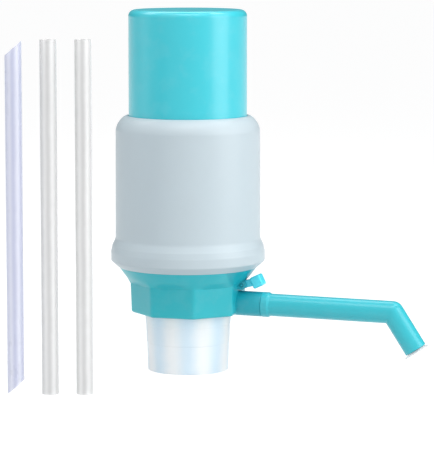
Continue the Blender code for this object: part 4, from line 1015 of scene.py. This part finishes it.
def springCoil(nodes, size):
    spiral = nodes.add("GeometryNodeCurveSpiral", None, {
        "Resolution": size["Steps"], "Rotations": size["Turns"], "Start Radius": size["Radius"],
        "End Radius": size["Radius"], "Height": size["Height"]})
    circle = nodes.add("GeometryNodeCurvePrimitiveCircle", None, {
        "Resolution": size["Sides"], "Radius": size["Wire"]})
    coil = nodes.add("GeometryNodeCurveToMesh", None, {
        "Curve": spiral, "Profile Curve": circle, "Fill Caps": True})
    lifted = nodes.add("ShaderNodeCombineXYZ", None, {"Z": size["Low"]})
    return nodes.add("GeometryNodeSetPosition", None, {"Geometry": coil, "Offset": lifted})


def ventSpring():
    piece = growingPiece("ventSpring", "springTree", springSizes, springCoil, springSteel)
    valve = inSpoutPlane @ Matrix.Translation((collar["ventReach"], collar["ventSide"], 0))
    piece.data.transform(valve)
    finishPiece(piece, springSteel, "pump", ["vent_spring"])
    length = springBox[1].z - springBox[0].z
    (length - travel("vent_lift")) / length
    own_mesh(piece)


ventSpring()
print("vent spring made")

# Inner pieces whose CAD shape stays: only their finish changes
innerFinishes = {
    "bellows_top_plate": innerPlastic, "valve_plate": innerPlastic, "vent_plunger": innerPlastic,
    "intake_flap": darkRubber, "outlet_flap": darkRubber, "duct_seal": darkRubber, "vent_seal": darkRubber,
    "spout_o_ring_outer": darkRubber, "spout_o_ring_inner": darkRubber, "tube_bush": paleRubber,
    "neck_gasket": paleRubber,
}
for node, material in innerFinishes.items():
    for slot in frame["nodes"][node].material_slots:
        slot.material = material

# Studio: a wide pale floor, which the camera sees as white with a soft shadow
studio = {"floorSize": 14.0, "floorColour": screenColour(216, 217, 218), "shadowShare": 0.42,
          "whiteness": 1.44, "front": 0.85, "behind": 0.14, "roomReach": 0.8}


def studioFloor(spec):
    material, nodes = startMaterial("studioFloor")
    path = nodes.tree.nodes.new("ShaderNodeLightPath")
    seen = Wire(nodes, path.outputs["Is Camera Ray"]) + Wire(nodes, path.outputs["Is Glossy Ray"])
    seen = seen + Wire(nodes, path.outputs["Is Transmission Ray"])
    share = nodes.add("ShaderNodeClamp", None, {"Value": seen}) * (1 - spec["shadowShare"])
    paint = nodes.add("ShaderNodeBsdfDiffuse", None, {"Color": spec["floorColour"]})
    white = nodes.add("ShaderNodeEmission", None, {"Color": (1, 1, 1, 1), "Strength": spec["whiteness"]})
    mixed = nodes.add("ShaderNodeMixShader", None, {0: share, 1: paint, 2: white})
    nodes.add("ShaderNodeOutputMaterial", None, {"Surface": mixed})
    form = bmesh.new()
    bmesh.ops.create_grid(form, x_segments=4, y_segments=4, size=spec["floorSize"])
    mesh = bpy.data.meshes.new("studioFloor")
    form.to_mesh(mesh)
    form.free()
    mesh.materials.append(material)
    addObject("studioFloor", mesh)


def studioWorld(spec):
    world = bpy.data.worlds.new("studioWorld")
    world.use_nodes = True
    world.node_tree.nodes.clear()
    nodes = Nodes(world.node_tree)
    path = nodes.tree.nodes.new("ShaderNodeLightPath")
    seen = nodes.add("ShaderNodeClamp", None, {"Value": Wire(nodes, path.outputs["Is Camera Ray"])
                                               + Wire(nodes, path.outputs["Is Transmission Ray"])})
    place = nodes.add("ShaderNodeTexCoord", output="Generated")
    depth = nodes.add("ShaderNodeSeparateXYZ", None, {"Vector": place}, "Y")
    room = nodes.add("ShaderNodeMapRange", {"interpolation_type": "SMOOTHSTEP"},
                     {"Value": depth, "From Min": -spec["roomReach"], "From Max": spec["roomReach"],
                      "To Min": spec["front"], "To Max": spec["behind"]})
    strength = room + seen * (1 - room)
    sky = nodes.add("ShaderNodeBackground", None, {"Color": (1, 1, 1, 1), "Strength": strength})
    nodes.add("ShaderNodeOutputWorld", None, {"Surface": sky})
    bpy.context.scene.world = world


def softLamp(name, spot, aim, size, power):
    data = bpy.data.lights.new(name, "AREA")
    data.shape = "RECTANGLE"
    data.size, data.size_y = size
    data.energy = power
    lamp = addObject(name, data)
    lamp.location = Vector((axisX, axisY, 0)) + Vector(spot)
    facing = Vector((axisX, axisY, 0)) + Vector(aim) - lamp.location
    lamp.rotation_euler = facing.to_track_quat("-Z", "Y").to_euler()


studioFloor(studio)
studioWorld(studio)
softLamp("keyRight", (0.84, -0.36, 0.4), (0, 0, 0.12), (0.6, 0.8), 3.9)
softLamp("fillLeft", (-0.95, -0.02, 0.35), (0, 0, 0.12), (0.4, 0.7), 0.5)
softLamp("overLeft", (-0.66, 0.22, 1.0), (0, 0, 0.15), (0.42, 0.34), 1.7)
softLamp("overRight", (0.56, 0.12, 1.1), (0, 0, 0.15), (0.36, 0.36), 2.6)
softLamp("overFront", (0, -0.42, 1.05), (0, 0, 0.12), (0.7, 0.4), 3.2)
softLamp("overBack", (-0.1, 0.55, 1.1), (0, 0, 0.2), (0.8, 0.4), 3.4)
print("studio ready")
